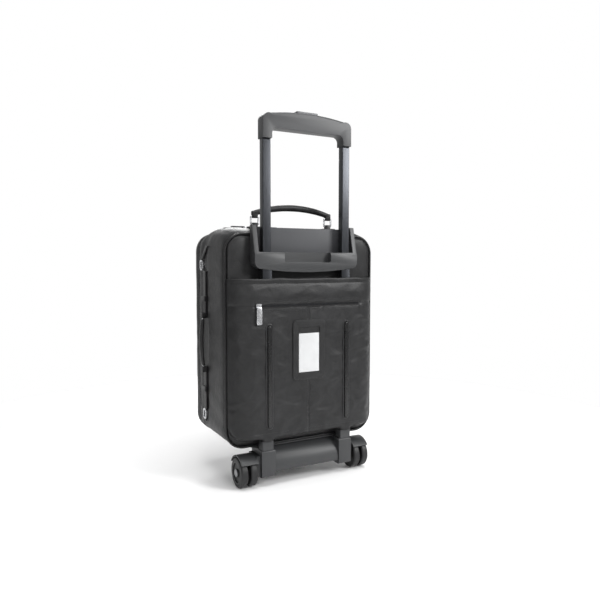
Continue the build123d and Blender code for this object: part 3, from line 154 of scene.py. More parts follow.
def product(tree, first, second):
    """Two values multiplied."""
    factors = {0: first, 1: second}
    return add_node(tree, "ShaderNodeMath", factors, operation="MULTIPLY").outputs["Value"]


def surface(tree, output, inputs):
    """Gives a material its surface."""
    shader = add_node(tree, "ShaderNodeBsdfPrincipled", inputs)
    tree.links.new(shader.outputs[0], output.inputs[0])


# A white sweep stands behind the case, and the rest of the room is pale grey, dimmer overhead.
SWEEP_FADES = (0.64, 0.80)    # cosines of the angles from the view line, outer and inner
ROOM_GREY = 0.42
ROOF_FADES = (0.45, 0.75)     # sines of the heights where the roof starts and is full
ROOF_DIMS = 0.35
world = bpy.data.worlds.new("studio_air")
world.use_nodes = True
air = world.node_tree
air_place = air.nodes.new("ShaderNodeTexCoord").outputs["Generated"]
air_facing = add_node(air, "ShaderNodeVectorMath", {0: air_place, 1: look}, operation="DOT_PRODUCT")
air_sweep = add_node(air, "ShaderNodeMapRange", {
    "Value": air_facing.outputs["Value"], "From Min": SWEEP_FADES[0], "From Max": SWEEP_FADES[1],
    "To Min": ROOM_GREY, "To Max": 1.0,
})
air_height = add_node(air, "ShaderNodeSeparateXYZ", {"Vector": air_place})
air_roof = add_node(air, "ShaderNodeMapRange", {
    "Value": air_height.outputs["Z"], "From Min": ROOF_FADES[0], "From Max": ROOF_FADES[1],
    "To Min": 1.0, "To Max": ROOF_DIMS,
})
air_light = product(air, air_sweep.outputs["Result"], air_roof.outputs["Result"])
air.links.new(air_light, air.nodes["Background"].inputs["Color"])
air.nodes["Background"].inputs["Strength"].default_value = 1.0
scene.world = world

floor_paint, tree, output, place = start_material("pale_studio_floor")
floor_mottle = noisy(tree, place, 3.0, 4.0)
floor_tone = toned(tree, floor_mottle, "#f8f8f8", "#fdfdfd")
surface(tree, output, {"Base Color": floor_tone, "Roughness": 0.8})
FLOOR_R = 1.15
floor_mesh = bmesh.new()
bmesh.ops.create_circle(floor_mesh, cap_ends=True, segments=96, radius=FLOOR_R)
floor_data = bpy.data.meshes.new("studio_floor")
floor_mesh.to_mesh(floor_data)
floor_mesh.free()
floor = bpy.data.objects.new("studio_floor", floor_data)
floor_data.materials.append(floor_paint)
scene.collection.objects.link(floor)

# ---- Moulded parts ---------------------------------------
# Handle bezel, wheel brackets, hoods, sockets, kick plate, tray, foot and grip are injection
# moulded ABS, spark-eroded to a fine matt texture, with edges eased by the mould.


def shown(name, mesh, finishes, body, replaced=(), smooth=True):
    """Makes a piece from a bmesh: shaded, painted and in its CAD node's place. It rides on its
    body, or on none if it is blended between two."""
    data = bpy.data.meshes.new(name)
    mesh.to_mesh(data)
    mesh.free()
    piece = bpy.data.objects.new(name, data)
    scene.collection.objects.link(piece)
    for finish in finishes:
        data.materials.append(finish)
    if smooth:
        data.shade_smooth()
    if body:
        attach(piece, body)
    if replaced:
        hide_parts(*replaced)
    return piece


def repaint(node, finish):
    """Shows a CAD node as it is, in a finish."""
    data = frame["nodes"][node].data
    data.materials.clear()
    data.materials.append(finish)


def body_of(node):
    """The body that a CAD node rides on."""
    groups = frame["record"]["behaviour"]["bodies"]
    return next(body for body, members in groups.items() if node in members)


def eased_copy(node, finish, width, segments=3, angle=32.0):
    """A copy of a CAD node with the small edge radii of the real part."""
    mesh = bmesh.new()
    mesh.from_mesh(frame["nodes"][node].data)
    bmesh.ops.remove_doubles(mesh, verts=mesh.verts, dist=0.00001)
    bmesh.ops.dissolve_limit(mesh, angle_limit=radians(1.0), verts=mesh.verts, edges=mesh.edges)
    piece = shown(f"{node}_eased", mesh, [finish], body_of(node), (node,))
    easing = piece.modifiers.new("easing", "BEVEL")
    easing.width = width
    easing.segments = segments
    easing.limit_method = "ANGLE"
    easing.angle_limit = radians(angle)
    easing.harden_normals = True
    return piece


def moulded_plastic(name, dark, light, grit_mm, roughness):
    """Matt moulded ABS: a fine spark-eroded grain, faint flow mottling and no metal."""
    material, tree, output, place = start_material(name)
    grain = noisy(tree, place, 1000.0 / grit_mm, 3.0, Roughness=0.65)
    flow = noisy(tree, place, 14.0, 5.0)
    tone = toned(tree, flow, dark, light)
    gloss = ranged(tree, flow, roughness - 0.05, roughness + 0.07)
    texture = bumped(tree, grain, 0.22, 0.0004)
    surface(tree, output, {"Base Color": tone, "Roughness": gloss, "Normal": texture, "IOR": 1.53})
    return material


abs_plastic = moulded_plastic("black_moulded_abs", "#2d2e30", "#373839", 0.9, 0.46)
tray_plastic = moulded_plastic("base_tray_abs", "#242526", "#2c2d2e", 1.2, 0.55)
grip_plastic = moulded_plastic("grip_abs", "#2d2e30", "#38393b", 0.9, 0.44)

MOULDED = {
    "handle_bezel": (abs_plastic, 0.0016),
    "tube_sockets": (abs_plastic, 0.0008),
    "wheel_bracket_left": (abs_plastic, 0.0012),
    "wheel_bracket_right": (abs_plastic, 0.0012),
    "wheel_hood_left": (abs_plastic, 0.0007),
    "wheel_hood_right": (abs_plastic, 0.0007),
    "kick_plate": (abs_plastic, 0.0008),
    "base_tray": (tray_plastic, 0.0008),
    "front_foot": (tray_plastic, 0.0020),
    "tube_plugs": (tray_plastic, 0.0003),
    "grip_shell": (grip_plastic, 0.0030),
}
for node, (finish, radius) in MOULDED.items():
    eased_copy(node, finish, radius, segments=4)

button_plastic = moulded_plastic("release_button_abs", "#4b4c4e", "#55565a", 0.9, 0.38)
eased_copy("release_button", button_plastic, 0.0004, angle=50.0)

# ---- Centre panel behind the grip ------------------------
# A plain insert of lighter grey ABS, clipped into the bezel. The grip folds down in front of it.
panel_plastic = moulded_plastic("centre_panel_abs", "#3c3d40", "#47484b", 1.0, 0.5)
eased_copy("recess_plate", panel_plastic, 0.0006)

# ---- Skid rails ------------------------------------------
# Two glossy extruded PVC rails that take the scuffs when the case slides on stairs.
rail_plastic = moulded_plastic("skid_rail_pvc", "#060607", "#0e0e0f", 2.0, 0.26)
for side in ("left", "right"):
    repaint(f"skid_rail_{side}", rail_plastic)

# ---- Telescoping tubes -----------------------------------
# Drawn aluminium, brushed along its length and anodised black: satin, with long fine streaks.
tube_finish, tree, output, place = start_material("black_anodised_aluminium")
stretched = add_node(tree, "ShaderNodeMapping", {"Vector": place, "Scale": (1.0, 1.0, 0.02)})
streaks = noisy(tree, stretched.outputs["Vector"], 2200.0, 3.0)
tube_tone = toned(tree, streaks, "#303134", "#484a4e")
tube_gloss = ranged(tree, streaks, 0.26, 0.40)
tube_bump = bumped(tree, streaks, 0.08, 0.0002)
surface(tree, output, {
    "Base Color": tube_tone, "Metallic": 0.85,
    "Roughness": tube_gloss, "Normal": tube_bump,
})
for node in ("outer_tube_left", "outer_tube_right", "inner_tube_left", "inner_tube_right"):
    eased_copy(node, tube_finish, 0.0006)
eased_copy("push_rods", tube_finish, 0.0004)

# ---- Steel and bright fittings ---------------------------
# Axles and lock pins are turned steel. Rings, loops, sliders and pulls are zinc castings with a
# bright nickel plate, a little scuffed.


def bright_metal(name, dark, light, roughness):
    """Polished or turned metal with faint scuffs."""
    material, tree, output, place = start_material(name)
    scuffs = noisy(tree, place, 180.0, 6.0)
    tone = toned(tree, scuffs, dark, light)
    gloss = ranged(tree, scuffs, roughness - 0.06, roughness + 0.10)
    surface(tree, output, {"Base Color": tone, "Metallic": 1.0, "Roughness": gloss})
    return material


steel = bright_metal("turned_steel", "#8d8e90", "#a5a6a8", 0.34)
nickel = bright_metal("bright_nickel", "#c9cacd", "#e0e1e3", 0.26)
gunmetal = bright_metal("gunmetal_plate", "#4f5053", "#6b6c70", 0.28)
eased_copy("axles", steel, 0.0005)
eased_copy("lock_pins", steel, 0.0003)
for node in ("strap_rings", "carry_loops"):
    eased_copy(node, nickel, 0.0004, angle=60.0)
for node in ("pocket_slider", "pocket_puller", "front_slider", "front_puller"):
    eased_copy(node, nickel, 0.0003)
for node in ("top_pull_left", "top_pull_right"):
    eased_copy(node, gunmetal, 0.0003)

# ---- Wheels ----------------------------------------------
# Each twin is a soft polyurethane tyre moulded on a nylon hub with a dished face.
tyre_rubber, tree, output, place = start_material("polyurethane_tyre")
tyre_dust = noisy(tree, place, 60.0, 8.0)
tyre_grain = noisy(tree, place, 900.0, 2.0)
tyre_tone = toned(tree, tyre_dust, "#0b0b0c", "#18181a")
tyre_bump = bumped(tree, tyre_grain, 0.2, 0.0003)
surface(tree, output, {"Base Color": tyre_tone, "Roughness": 0.5, "Normal": tyre_bump})
hub_plastic = moulded_plastic("nylon_hub", "#141516", "#1e1f20", 1.0, 0.36)
for side in ("left", "right"):
    for twin in ("inner", "outer"):
        repaint(f"tyre_{side}_{twin}", tyre_rubber)
        eased_copy(f"hub_{side}_{twin}", hub_plastic, 0.0008)

# ---- Leather body ----------------------------------------
# A padded gusset of black grained cowhide runs round the main compartment over a stiff frame,
# domed on top. The leather is pinched under the side straps and bulges a little beside them.


def grained_leather(name, dark, light, grain_mm, roughness):
    """Finished cowhide: pebbled grain, shallow creases, and a tone that shifts at random with the
    tanning and is painted darker in the crease valleys and lighter on their ridges as painted
    shade.
    """
    material, tree, output, place = start_material(name)
    pebbles = add_node(tree, "ShaderNodeTexVoronoi", {
        "Vector": place, "Scale": 1000.0 / grain_mm, "Randomness": 1.0,
    }, feature="SMOOTH_F1")
    creases = noisy(tree, place, 55.0, 9.0, Roughness=0.62, Distortion=0.6)
    tanning = noisy(tree, place, 9.0, 4.0)
    # the tone is the tanning noise times the crease height: the random part is the hide's own, and
    # the crease part is painted shade in the valleys and a painted highlight on the ridges
    spread = add_node(tree, "ShaderNodeMapRange", {
        "Value": product(tree, tanning, creases), "From Min": 0.12, "From Max": 0.42,
    })
    tone = toned(tree, spread.outputs["Result"], dark, light)
    gloss = ranged(tree, creases, roughness - 0.10, roughness + 0.12)
    folds = bumped(tree, creases, 0.35, 0.0022)
    grain = bumped(tree, pebbles.outputs["Distance"], 0.35, 0.0005, folds)
    surface(tree, output, {
        "Base Color": tone, "Roughness": gloss,
        "Normal": grain, "IOR": 1.48, "Specular IOR Level": 0.42,
    })
    return material


def woven_cloth(name, dark, light, thread_mm):
    """Plain weave: warp and weft as crossed waves, thread_mm apart, with a little fuzz."""
    material, tree, output, place = start_material(name)
    waves = []
    for turn in ("X", "Z"):
        wave = add_node(tree, "ShaderNodeTexWave", {
            "Vector": place, "Scale": 1000.0 / thread_mm / 20.0, "Distortion": 0.4,
        }, bands_direction=turn)
        waves.append(wave.outputs["Fac"])
    weave = product(tree, *waves)
    fuzz = noisy(tree, place, 30.0, 6.0)
    tone = toned(tree, product(tree, weave, fuzz), dark, light)
    relief = bumped(tree, weave, 0.4, 0.0003)
    surface(tree, output, {
        "Base Color": tone, "Roughness": 0.85, "Sheen Weight": 0.15,
        "Normal": relief,
    })
    return material


leather = grained_leather("black_grained_cowhide", "#121213", "#252526", 1.5, 0.47)
lining = woven_cloth("grey_twill_lining", "#242528", "#46474b", 1.6)

lid_ring_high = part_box("lid_gusset")[1]
gusset_low, gusset_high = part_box("gusset_left")
HALF_W = 0.184
BODY_LOW_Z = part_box("gusset_bottom")[0].z
BACK_TOP_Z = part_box("piping_back")[1].z
FRONT_TOP_Z = lid_ring_high.z
CROWN_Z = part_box("gusset_top")[1].z
CROWN_FROM_Z = 0.44           # the sides start to rise into the crown here
GUSSET_BACK_Y = gusset_high.y
GUSSET_FRONT_Y = gusset_low.y
CORNER_R = 0.043
GUSSET_WALL = 0.0085
SEAM_ROLL = 0.016             # width of the roll beside each seam
SIDE_SWELL = 0.0026           # how far the padding swells
TOP_SWELL = 0.0010
BASE_SINK = 0.0005
LEATHER_SINK = 0.0009         # the leather is set in, so that its swells reach the CAD's outline
SEAM_SINK = 0.0012
STRAP_Y = -0.033
STRAP_HALF = 0.009
STRAP_PINCH = 0.014           # width of the pinched leather beside a strap


def clamp(share):
    """A share held between 0 and 1."""
    return min(1.0, max(0.0, share))


def crown_lift(y):
    """How far the domed top stands above the straight line from lid to back panel."""
    depth = (y - GUSSET_FRONT_Y) / (GUSSET_BACK_Y - GUSSET_FRONT_Y)
    edge = FRONT_TOP_Z + (BACK_TOP_Z - FRONT_TOP_Z) * depth
    dome = CROWN_Z - 0.5 * (FRONT_TOP_Z + BACK_TOP_Z)
    return edge - BACK_TOP_Z + dome * (1 - abs(2 * depth - 1) ** 3.2)


def crown_share(z):
    """How much of the crown's lift reaches a height on the sides."""
    return clamp((z - CROWN_FROM_Z) / (BACK_TOP_Z - CROWN_FROM_Z)) ** 1.5


def creasing(point, size, stretch=(1.0, 1.0, 1.0)):
    """Soft ridges with pinched valleys between them, from 0 to about 1."""
    scaled = Vector([point[i] * stretch[i] / size for i in range(3)])
    swirl = noise.noise(scaled * 0.5) * 0.8
    ridge = 1 - abs(noise.noise(scaled + Vector((swirl, -swirl, swirl))))
    return ridge * ridge


def slice_mesh(mesh, axis, places):
    """Cuts a mesh by planes across an axis, to give its shape something to bend at."""
    normal = Vector([float(k == axis) for k in range(3)])
    for place in places:
        bmesh.ops.bisect_plane(
            mesh, geom=mesh.verts[:] + mesh.edges[:] + mesh.faces[:],
            plane_co=normal * place, plane_no=normal, dist=0.00001,
        )


def evenly(low, high, cell):
    """Places between low and high, about a cell apart, without the two ends."""
    count = max(1, round((high - low) / cell))
    return [low + (high - low) * k / count for k in range(1, count)]


def block(low, high):
    """A plain block between two corners."""
    mesh = bmesh.new()
    bmesh.ops.create_cube(mesh, size=1.0)
    bmesh.ops.scale(mesh, vec=Vector(high) - Vector(low), verts=mesh.verts)
    bmesh.ops.translate(mesh, vec=(Vector(high) + Vector(low)) / 2, verts=mesh.verts)
    return mesh


def round_off(mesh, geom, radius, segments, affect="EDGES"):
    """Rounds some edges or corners of a mesh."""
    bmesh.ops.bevel(
        mesh, geom=geom, offset=radius, segments=segments, profile=0.5, affect=affect, material=-1
    )


def leather_hoop(low_z, high_z, back_y, front_y, cell):
    """An open hoop of the body's rounded outline, cut into cells along and across."""
    mesh = block((-HALF_W, front_y, low_z), (HALF_W, back_y, high_z))
    ends = [face for face in mesh.faces if abs(face.normal.y) > 0.5]
    bmesh.ops.delete(mesh, geom=ends, context="FACES_ONLY")
    corners = [edge for edge in mesh.edges if abs(edge.verts[0].co.y - edge.verts[1].co.y) > 0.001]
    round_off(mesh, corners, CORNER_R, 12)
    rims = [0.001, 0.0025, 0.005]
    edges_y = [back_y - r for r in rims] + [front_y + r for r in rims]
    slice_mesh(mesh, 1, evenly(front_y, back_y, cell) + edges_y)
    slice_mesh(mesh, 0, evenly(-HALF_W + CORNER_R, HALF_W - CORNER_R, cell))
    slice_mesh(mesh, 2, evenly(low_z + CORNER_R, high_z - CORNER_R, cell))
    bmesh.ops.recalc_face_normals(mesh, faces=mesh.faces)
    return mesh


def outward(point, low_z, high_z):
    """Unit direction out of the body's outline at a point on it."""
    core_x = max(-HALF_W + CORNER_R, min(HALF_W - CORNER_R, point.x))
    core_z = max(low_z + CORNER_R, min(high_z - CORNER_R, point.z))
    return Vector((point.x - core_x, 0, point.z - core_z)).normalized()


def pillow(distance, reach):
    """A quarter-round rise from 0 at a seam to 1 at reach from it."""
    return sqrt(max(0.0, 1 - (1 - clamp(distance / reach)) ** 2))


gusset = leather_hoop(BODY_LOW_Z, BACK_TOP_Z, GUSSET_BACK_Y, GUSSET_FRONT_Y, 0.006)
for vert in gusset.verts:
    away = outward(vert.co, BODY_LOW_Z, BACK_TOP_Z)
    to_seam = min(GUSSET_BACK_Y - vert.co.y, vert.co.y - GUSSET_FRONT_Y)
    puff = pillow(to_seam, SEAM_ROLL)
    beside_strap = clamp((abs(vert.co.y - STRAP_Y) - STRAP_HALF) / STRAP_PINCH)
    soft = 0.35 + 0.65 * creasing(vert.co, 0.055, (1.0, 0.55, 1.3))
    swell = puff * soft * (SIDE_SWELL * beside_strap if abs(away.x) > 0.7 else TOP_SWELL)
    if away.z < -0.5:
        swell = -BASE_SINK
    vert.co.z += crown_lift(vert.co.y) * crown_share(vert.co.z)
    vert.co += away * (swell - LEATHER_SINK - SEAM_SINK * (1 - puff))
body_gusset = shown(
    "body_gusset", gusset, [leather, lining], "case",
    ("gusset_top", "gusset_bottom", "gusset_left", "gusset_right"),
)


def give_wall(piece, thickness, inner=0):
    """Gives a leather surface its thickness, inwards, with the lining inside if there is one."""
    wall = piece.modifiers.new("wall", "SOLIDIFY")
    wall.thickness = thickness
    wall.offset = -1.0
    wall.material_offset = inner


give_wall(body_gusset, GUSSET_WALL, inner=1)

# ---- Back panel ------------------------------------------
# A flat leather-covered board sewn into the gusset with a cord piping round it. Most of it is
# under the pocket, and the top shows beside the handle's bezel.


def leather_blank(half_w, low_z, high_z, radius, cell, square_top=False):
    """A flat blank that faces +Y, rounded at its corners and cut into even cells."""
    mesh = bmesh.new()
    bmesh.ops.create_grid(mesh, x_segments=1, y_segments=1, size=0.5)
    bmesh.ops.rotate(mesh, matrix=Matrix.Rotation(-pi / 2, 3, "X"), verts=mesh.verts)
    bmesh.ops.scale(mesh, vec=(2 * half_w, 1, high_z - low_z), verts=mesh.verts)
    bmesh.ops.translate(mesh, vec=(0, 0, (high_z + low_z) / 2), verts=mesh.verts)
    rounded = [v for v in mesh.verts if v.co.z < (high_z + low_z) / 2 or not square_top]
    round_off(mesh, rounded, radius, 14, "VERTICES")
    slice_mesh(mesh, 0, evenly(-half_w, half_w, cell))
    slice_mesh(mesh, 2, evenly(low_z, high_z, cell))
    return mesh


def inside_by(point, half_w, low_z, high_z, radius):
    """How far a point lies inside a rounded rectangle's edge."""
    over_x = abs(point.x) - (half_w - radius)
    mid_z = (low_z + high_z) / 2
    over_z = abs(point.z - mid_z) - ((high_z - low_z) / 2 - radius)
    corner = sqrt(max(0.0, over_x) ** 2 + max(0.0, over_z) ** 2)
    return radius - corner - min(0.0, max(over_x, over_z))


panel_low, panel_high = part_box("back_panel")
PANEL_R = CORNER_R - 0.005
PANEL_SINK = 0.0026
PANEL_ROLL = 0.030
PANEL_FLAT = 0.0028           # rise behind the folded grip
PANEL_FULL = 0.0050           # rise beside the bezel
GRIP_REACH_X = 0.116
LINING_T = 0.0008
panel = leather_blank(panel_high.x, panel_low.z, panel_high.z, PANEL_R, 0.0065)
for vert in panel.verts:
    edge = inside_by(vert.co, panel_high.x, panel_low.z, panel_high.z, PANEL_R)
    soft = creasing(vert.co, 0.08, (1.0, 1.0, 0.6))
    beside_grip = clamp((abs(vert.co.x) - GRIP_REACH_X) / 0.012)
    fullness = PANEL_FLAT + (PANEL_FULL - PANEL_FLAT) * beside_grip
    vert.co.y = panel_high.y - PANEL_SINK + fullness * pillow(edge, PANEL_ROLL) + 0.0006 * soft
back_panel = shown("back_panel_leather", panel, [leather], "case", ("back_panel",))
give_wall(back_panel, 0.0035)

LINING_INSET = 0.006
panel_lining = leather_blank(
    panel_high.x - LINING_INSET, panel_low.z + LINING_INSET, panel_high.z - LINING_INSET,
    PANEL_R, 0.02,
)
bmesh.ops.reverse_faces(panel_lining, faces=panel_lining.faces)
for vert in panel_lining.verts:
    vert.co.y = panel_low.y - 0.0002 - 0.0006 * creasing(vert.co, 0.1)
back_lining = shown("back_panel_lining", panel_lining, [lining], "case")
give_wall(back_lining, LINING_T)

# ---- Piping ----------------------------------------------
# A cord wrapped in smooth black leather, sewn between the back panel and the gusset.
piping_leather = grained_leather("smooth_piping_leather", "#121213", "#1c1c1d", 1.1, 0.36)
repaint("piping_back", piping_leather)

# ---- Back pocket -----------------------------------------
# One panel of cowhide stands off over the handle tubes and rolls down to the piping at each side.
# It is hemmed at the top, zipped across, seamed down its middle, and a little slack.
pocket_low, pocket_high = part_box("back_pocket")
POCKET_FACE_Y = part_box("id_card")[0].y
POCKET_FLAT_X = 0.128
POCKET_BOTTOM_R = 0.013
HEM_Z = pocket_high.z - 0.010
slider_low, slider_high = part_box("pocket_slider")
zip_mid_z = (slider_low.z + slider_high.z) / 2
rail_low, rail_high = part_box("skid_rail_right")
RAIL_X = (rail_low.x + rail_high.x) / 2
tag_low, tag_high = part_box("tag_frame")
tube_low, tube_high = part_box("outer_tube_right")
roll_width = pocket_high.x - POCKET_FLAT_X
roll_depth = POCKET_FACE_Y - pocket_low.y
ROLL_R = (roll_width ** 2 + roll_depth ** 2) / (2 * roll_depth)
FOLD_DEPTH = 0.0030           # long folds of the hanging hide
PULL_DEPTH = 0.0013           # short creases, deeper toward the bottom
YOKE_BULGE = 0.0032
ZIP_VALLEY = (0.0016, 0.009)  # depth and half width
SEAM_VALLEY = (0.0013, 0.0045)
MIDDLE_VALLEY = (0.0012, 0.0035)
HEM_VALLEY = (0.0008, 0.003)
HEM_RISE = 0.0006
ZIP_END = 0.004               # the zip's opening runs this far past the flat face
BOTTOM_SEAM = 0.004


def dip(distance, width):
    """A smooth valley, 1 at its middle and 0 past its width."""
    return max(0.0, 1 - (distance / width) ** 2) ** 2


def by_tube(x):
    """1 where a handle tube runs down out of the pocket, 0 away from it."""
    past = max(tube_low.x - abs(x), abs(x) - tube_high.x, 0.0)
    return max(0.0, 1 - past / 0.006)


def pocket_face(x, z):
    """Depth of the pocket's leather at a place on it."""
    over = max(0.0, abs(x) - POCKET_FLAT_X)
    y = POCKET_FACE_Y - ROLL_R + sqrt(max(0.0, ROLL_R ** 2 - over ** 2))
    # the hide lies flatter along the rails, round the tag frame and in the yoke
    past_rail = max(rail_low.z - z, z - rail_high.z, 0.0)
    flat = 1 - 0.75 * dip(abs(x) - RAIL_X, 0.022) * dip(past_rail, 0.05)
    past_tag = max(abs(x) - tag_high.x, tag_low.z - z, z - tag_high.z, 0.0)
    flat *= 1 - 0.9 * dip(past_tag, 0.025)
    flat *= 1 - 0.6 * clamp((z - zip_mid_z) / 0.014)
    low_slack = clamp((HEM_Z - z) / 0.15)
    folds = creasing(Vector((x, 0.3, z)), 0.052, (1.0, 1.0, 1.5)) - 0.6
    pulls = creasing(Vector((x, 0.9, z)), 0.024, (0.8, 1.0, 1.6)) - 0.6
    y += flat * (FOLD_DEPTH * folds + PULL_DEPTH * pulls * (0.4 + 0.6 * low_slack))
    # the yoke above the zip bulges, and a seam runs on from each end of the zip to the piping
    if z > zip_mid_z:
        y += YOKE_BULGE * sin(pi * min(1.0, (z - zip_mid_z) / (HEM_Z - zip_mid_z)))
    depth, half_width = ZIP_VALLEY if abs(x) < POCKET_FLAT_X + ZIP_END else SEAM_VALLEY
    y -= depth * dip(z - zip_mid_z, half_width)
    # the seam down the middle and the hem's turned edge
    seam_here = z < tag_low.z or tag_high.z < z < zip_mid_z - 0.008
    y -= MIDDLE_VALLEY[0] * dip(x, MIDDLE_VALLEY[1]) * seam_here
    y += HEM_RISE * (z > HEM_Z) - HEM_VALLEY[0] * dip(z - HEM_Z, HEM_VALLEY[1])
    # the bottom edge turns in to its seam
    to_bottom = (z - pocket_low.z) / POCKET_BOTTOM_R
    if to_bottom < 1:
        seam_y = pocket_low.y + BOTTOM_SEAM
        turned = seam_y + (y - seam_y) * pillow(to_bottom + 0.02, 1.0)
        y = turned + (y - turned) * by_tube(x)
    return y


pocket = leather_blank(
    pocket_high.x, pocket_low.z, pocket_high.z, CORNER_R, 0.0032, square_top=True
)
slice_mesh(pocket, 0, [-0.0015, 0.0015, -0.0035, 0.0035])
slice_mesh(pocket, 2, [
    HEM_Z - 0.0015, HEM_Z + 0.0015, zip_mid_z - 0.002, zip_mid_z + 0.002,
    pocket_low.z + 0.0008, pocket_low.z + 0.002, pocket_low.z + 0.005,
])
for vert in pocket.verts:
    edge = inside_by(vert.co, pocket_high.x, pocket_low.z, pocket_high.z + CORNER_R, CORNER_R)
    depth = pocket_face(vert.co.x, vert.co.z)
    stand_off = pillow(edge + 0.0004, 0.006)
    stand_off += (1 - stand_off) * by_tube(vert.co.x)
    vert.co.y = pocket_low.y - 0.001 + (depth - pocket_low.y + 0.001) * stand_off
    gather = noise.noise(Vector((vert.co.x * 22, 0.0, 4.0)))
    vert.co.z += 0.0016 * gather * max(0.0, (vert.co.z - HEM_Z + 0.02) / 0.03)
back_pocket = shown("back_pocket_leather", pocket, [leather], "case", ("back_pocket",))
give_wall(back_pocket, 0.0022)

# ---- Stitching -------------------------------------------
# Waxed black polyester thread, lockstitched about three stitches to the centimetre. Each stitch
# sinks a little into the leather at its ends.
thread, tree, output, place = start_material("waxed_polyester_thread")
TWIST_MM = 0.6                # coarser than the real plies, which are too fine to show
twist = add_node(tree, "ShaderNodeTexWave", {
    "Vector": place, "Scale": 1000.0 / TWIST_MM / 20.0,
}, bands_direction="DIAGONAL")
thread_tone = toned(tree, twist.outputs["Fac"], "#1d1d1e", "#3b3b3d")
surface(tree, output, {"Base Color": thread_tone, "Roughness": 0.5})

STITCH_PITCH = 0.0038
STITCH_HALF = (0.0015, 0.00045, 0.0004)


def set_in(spot, along, up, size):
    """The matrix that lays a small shape at a spot, along its row and standing up from the hide."""
    along = Vector(along).normalized()
    across = Vector(up).cross(along).normalized()
    turn = Matrix((along, across, along.cross(across))).transposed().to_4x4()
    return Matrix.Translation(spot) @ turn @ Matrix.Diagonal((*size, 1.0))


def add_stitch(mesh, spot, along, up):
    """One stitch, as a slim bead."""
    bmesh.ops.create_icosphere(
        mesh, subdivisions=1, radius=1.0, matrix=set_in(spot, along, up, STITCH_HALF)
    )


def straight_row(mesh, start, end, surface, pitch=STITCH_PITCH, add=add_stitch):
    """A row from start to end in X and Z, laid on a surface given as y of x and z."""
    run = Vector((end[0] - start[0], 0, end[1] - start[1]))
    count = max(1, round(run.length / pitch))
    for k in range(count):
        x = start[0] + run.x * (k + 0.5) / count
        z = start[1] + run.z * (k + 0.5) / count
        step = run.normalized() * 0.001
        y = surface(x, z)
        ahead = Vector((x + step.x, surface(x + step.x, z + step.z), z + step.z))
        spot = Vector((x, y, z))
        add(mesh, spot, ahead - spot, (0, 1, 0))


def round_places(half_w, low_z, high_z, radius, pitch):
    """Places along a rounded rectangle: x, z and the angle that faces outward there."""
    bend = pi * radius / 2
    legs = [high_z - low_z - 2 * radius, bend, 2 * (half_w - radius), bend] * 2
    count = round(sum(legs) / pitch)
    step = sum(legs) / count
    places = []
    corner = Vector((half_w, low_z + radius))
    heading = pi / 2
    wanted = step / 2
    for k, leg in enumerate(legs):
        centre = corner + radius * Vector((cos(heading + pi / 2), sin(heading + pi / 2)))
        while wanted < leg:
            facing = heading - pi / 2 + (wanted / radius if k % 2 else 0.0)
            if k % 2:
                spot = centre + radius * Vector((cos(facing), sin(facing)))
            else:
                spot = corner + wanted * Vector((cos(heading), sin(heading)))
            places.append((spot.x, spot.y, facing))
            wanted += step
        wanted -= leg
        if k % 2:
            corner = centre + radius * Vector((cos(heading), sin(heading)))
            heading += pi / 2
        else:
            corner = corner + leg * Vector((cos(heading), sin(heading)))
    return places


def ring_row(mesh, outline, inset, y, up, keep=lambda z: True):
    """A row inside an outline: half width, low and high z, radius. Some heights may go bare."""
    half_w, low_z, high_z, radius = outline
    ring = round_places(half_w - inset, low_z + inset, high_z - inset, radius - inset, STITCH_PITCH)
    for x, z, facing in ring:
        if keep(z):
            add_stitch(mesh, (x, y, z), (-sin(facing), 0, cos(facing)), (0, up, 0))


ZIP_ROWS = (0.0085, 0.0115)   # two rows each side of the zip
SEAM_ROW = 0.0042             # one each side of the middle seam
pocket_stitches = bmesh.new()


def pocket_row(start, end):
    """A row of stitches on the back pocket."""
    straight_row(pocket_stitches, start, end, pocket_face)


for sign in (-1, 1):
    hem_row_z = HEM_Z - 0.0005
    pocket_row((0, hem_row_z), (sign * 0.172, hem_row_z))
    for row in ZIP_ROWS:
        row_z = zip_mid_z + sign * row
        pocket_row((-POCKET_FLAT_X, row_z), (POCKET_FLAT_X, row_z))
    row_x = sign * SEAM_ROW
    pocket_row((row_x, pocket_low.z + 0.014), (row_x, tag_low.z))
    pocket_row((row_x, tag_high.z), (row_x, zip_mid_z - 0.013))
    row_x = sign * (POCKET_FLAT_X + ZIP_END)
    pocket_row((row_x, zip_mid_z - 0.011), (row_x, zip_mid_z + 0.011))
base_row_z = pocket_low.z + 0.0175
pocket_row((-0.14, base_row_z), (0.14, base_row_z))
shown("pocket_stitching", pocket_stitches, [thread], "case")

# ---- Rail lips -------------------------------------------
# A strip of leather is turned round each skid rail and sewn flat, so that it stands up as a lip.
LIP_W = 0.0046
LIP_H = 0.0016


def oval_lip(mid_x, half_w, low_z, high_z, width, y, height):
    """A racetrack-shaped strip with softened edges."""
    mesh = leather_blank(half_w, low_z, high_z, half_w - 0.0001, 10.0)
    bmesh.ops.remove_doubles(mesh, verts=mesh.verts, dist=0.0004)
    inner = bmesh.ops.inset_region(
        mesh, faces=mesh.faces[:], thickness=width, use_boundary=True, use_even_offset=True
    )
    core = [face for face in mesh.faces if face not in inner["faces"]]
    bmesh.ops.delete(mesh, geom=core, context="FACES")
    raised = bmesh.ops.extrude_face_region(mesh, geom=mesh.faces[:])
    tops = [item for item in raised["geom"] if isinstance(item, bmesh.types.BMVert)]
    bmesh.ops.translate(mesh, vec=(0, height, 0), verts=tops)
    bmesh.ops.recalc_face_normals(mesh, faces=mesh.faces)
    ridge = [edge for edge in mesh.edges if all(vert.co.y > height / 2 for vert in edge.verts)]
    rims = [edge for edge in ridge if len({round(f.normal.y, 1) for f in edge.link_faces}) > 1]
    round_off(mesh, rims, height * 0.7, 3)
    bmesh.ops.translate(mesh, vec=(mid_x, y, 0), verts=mesh.verts)
    return mesh
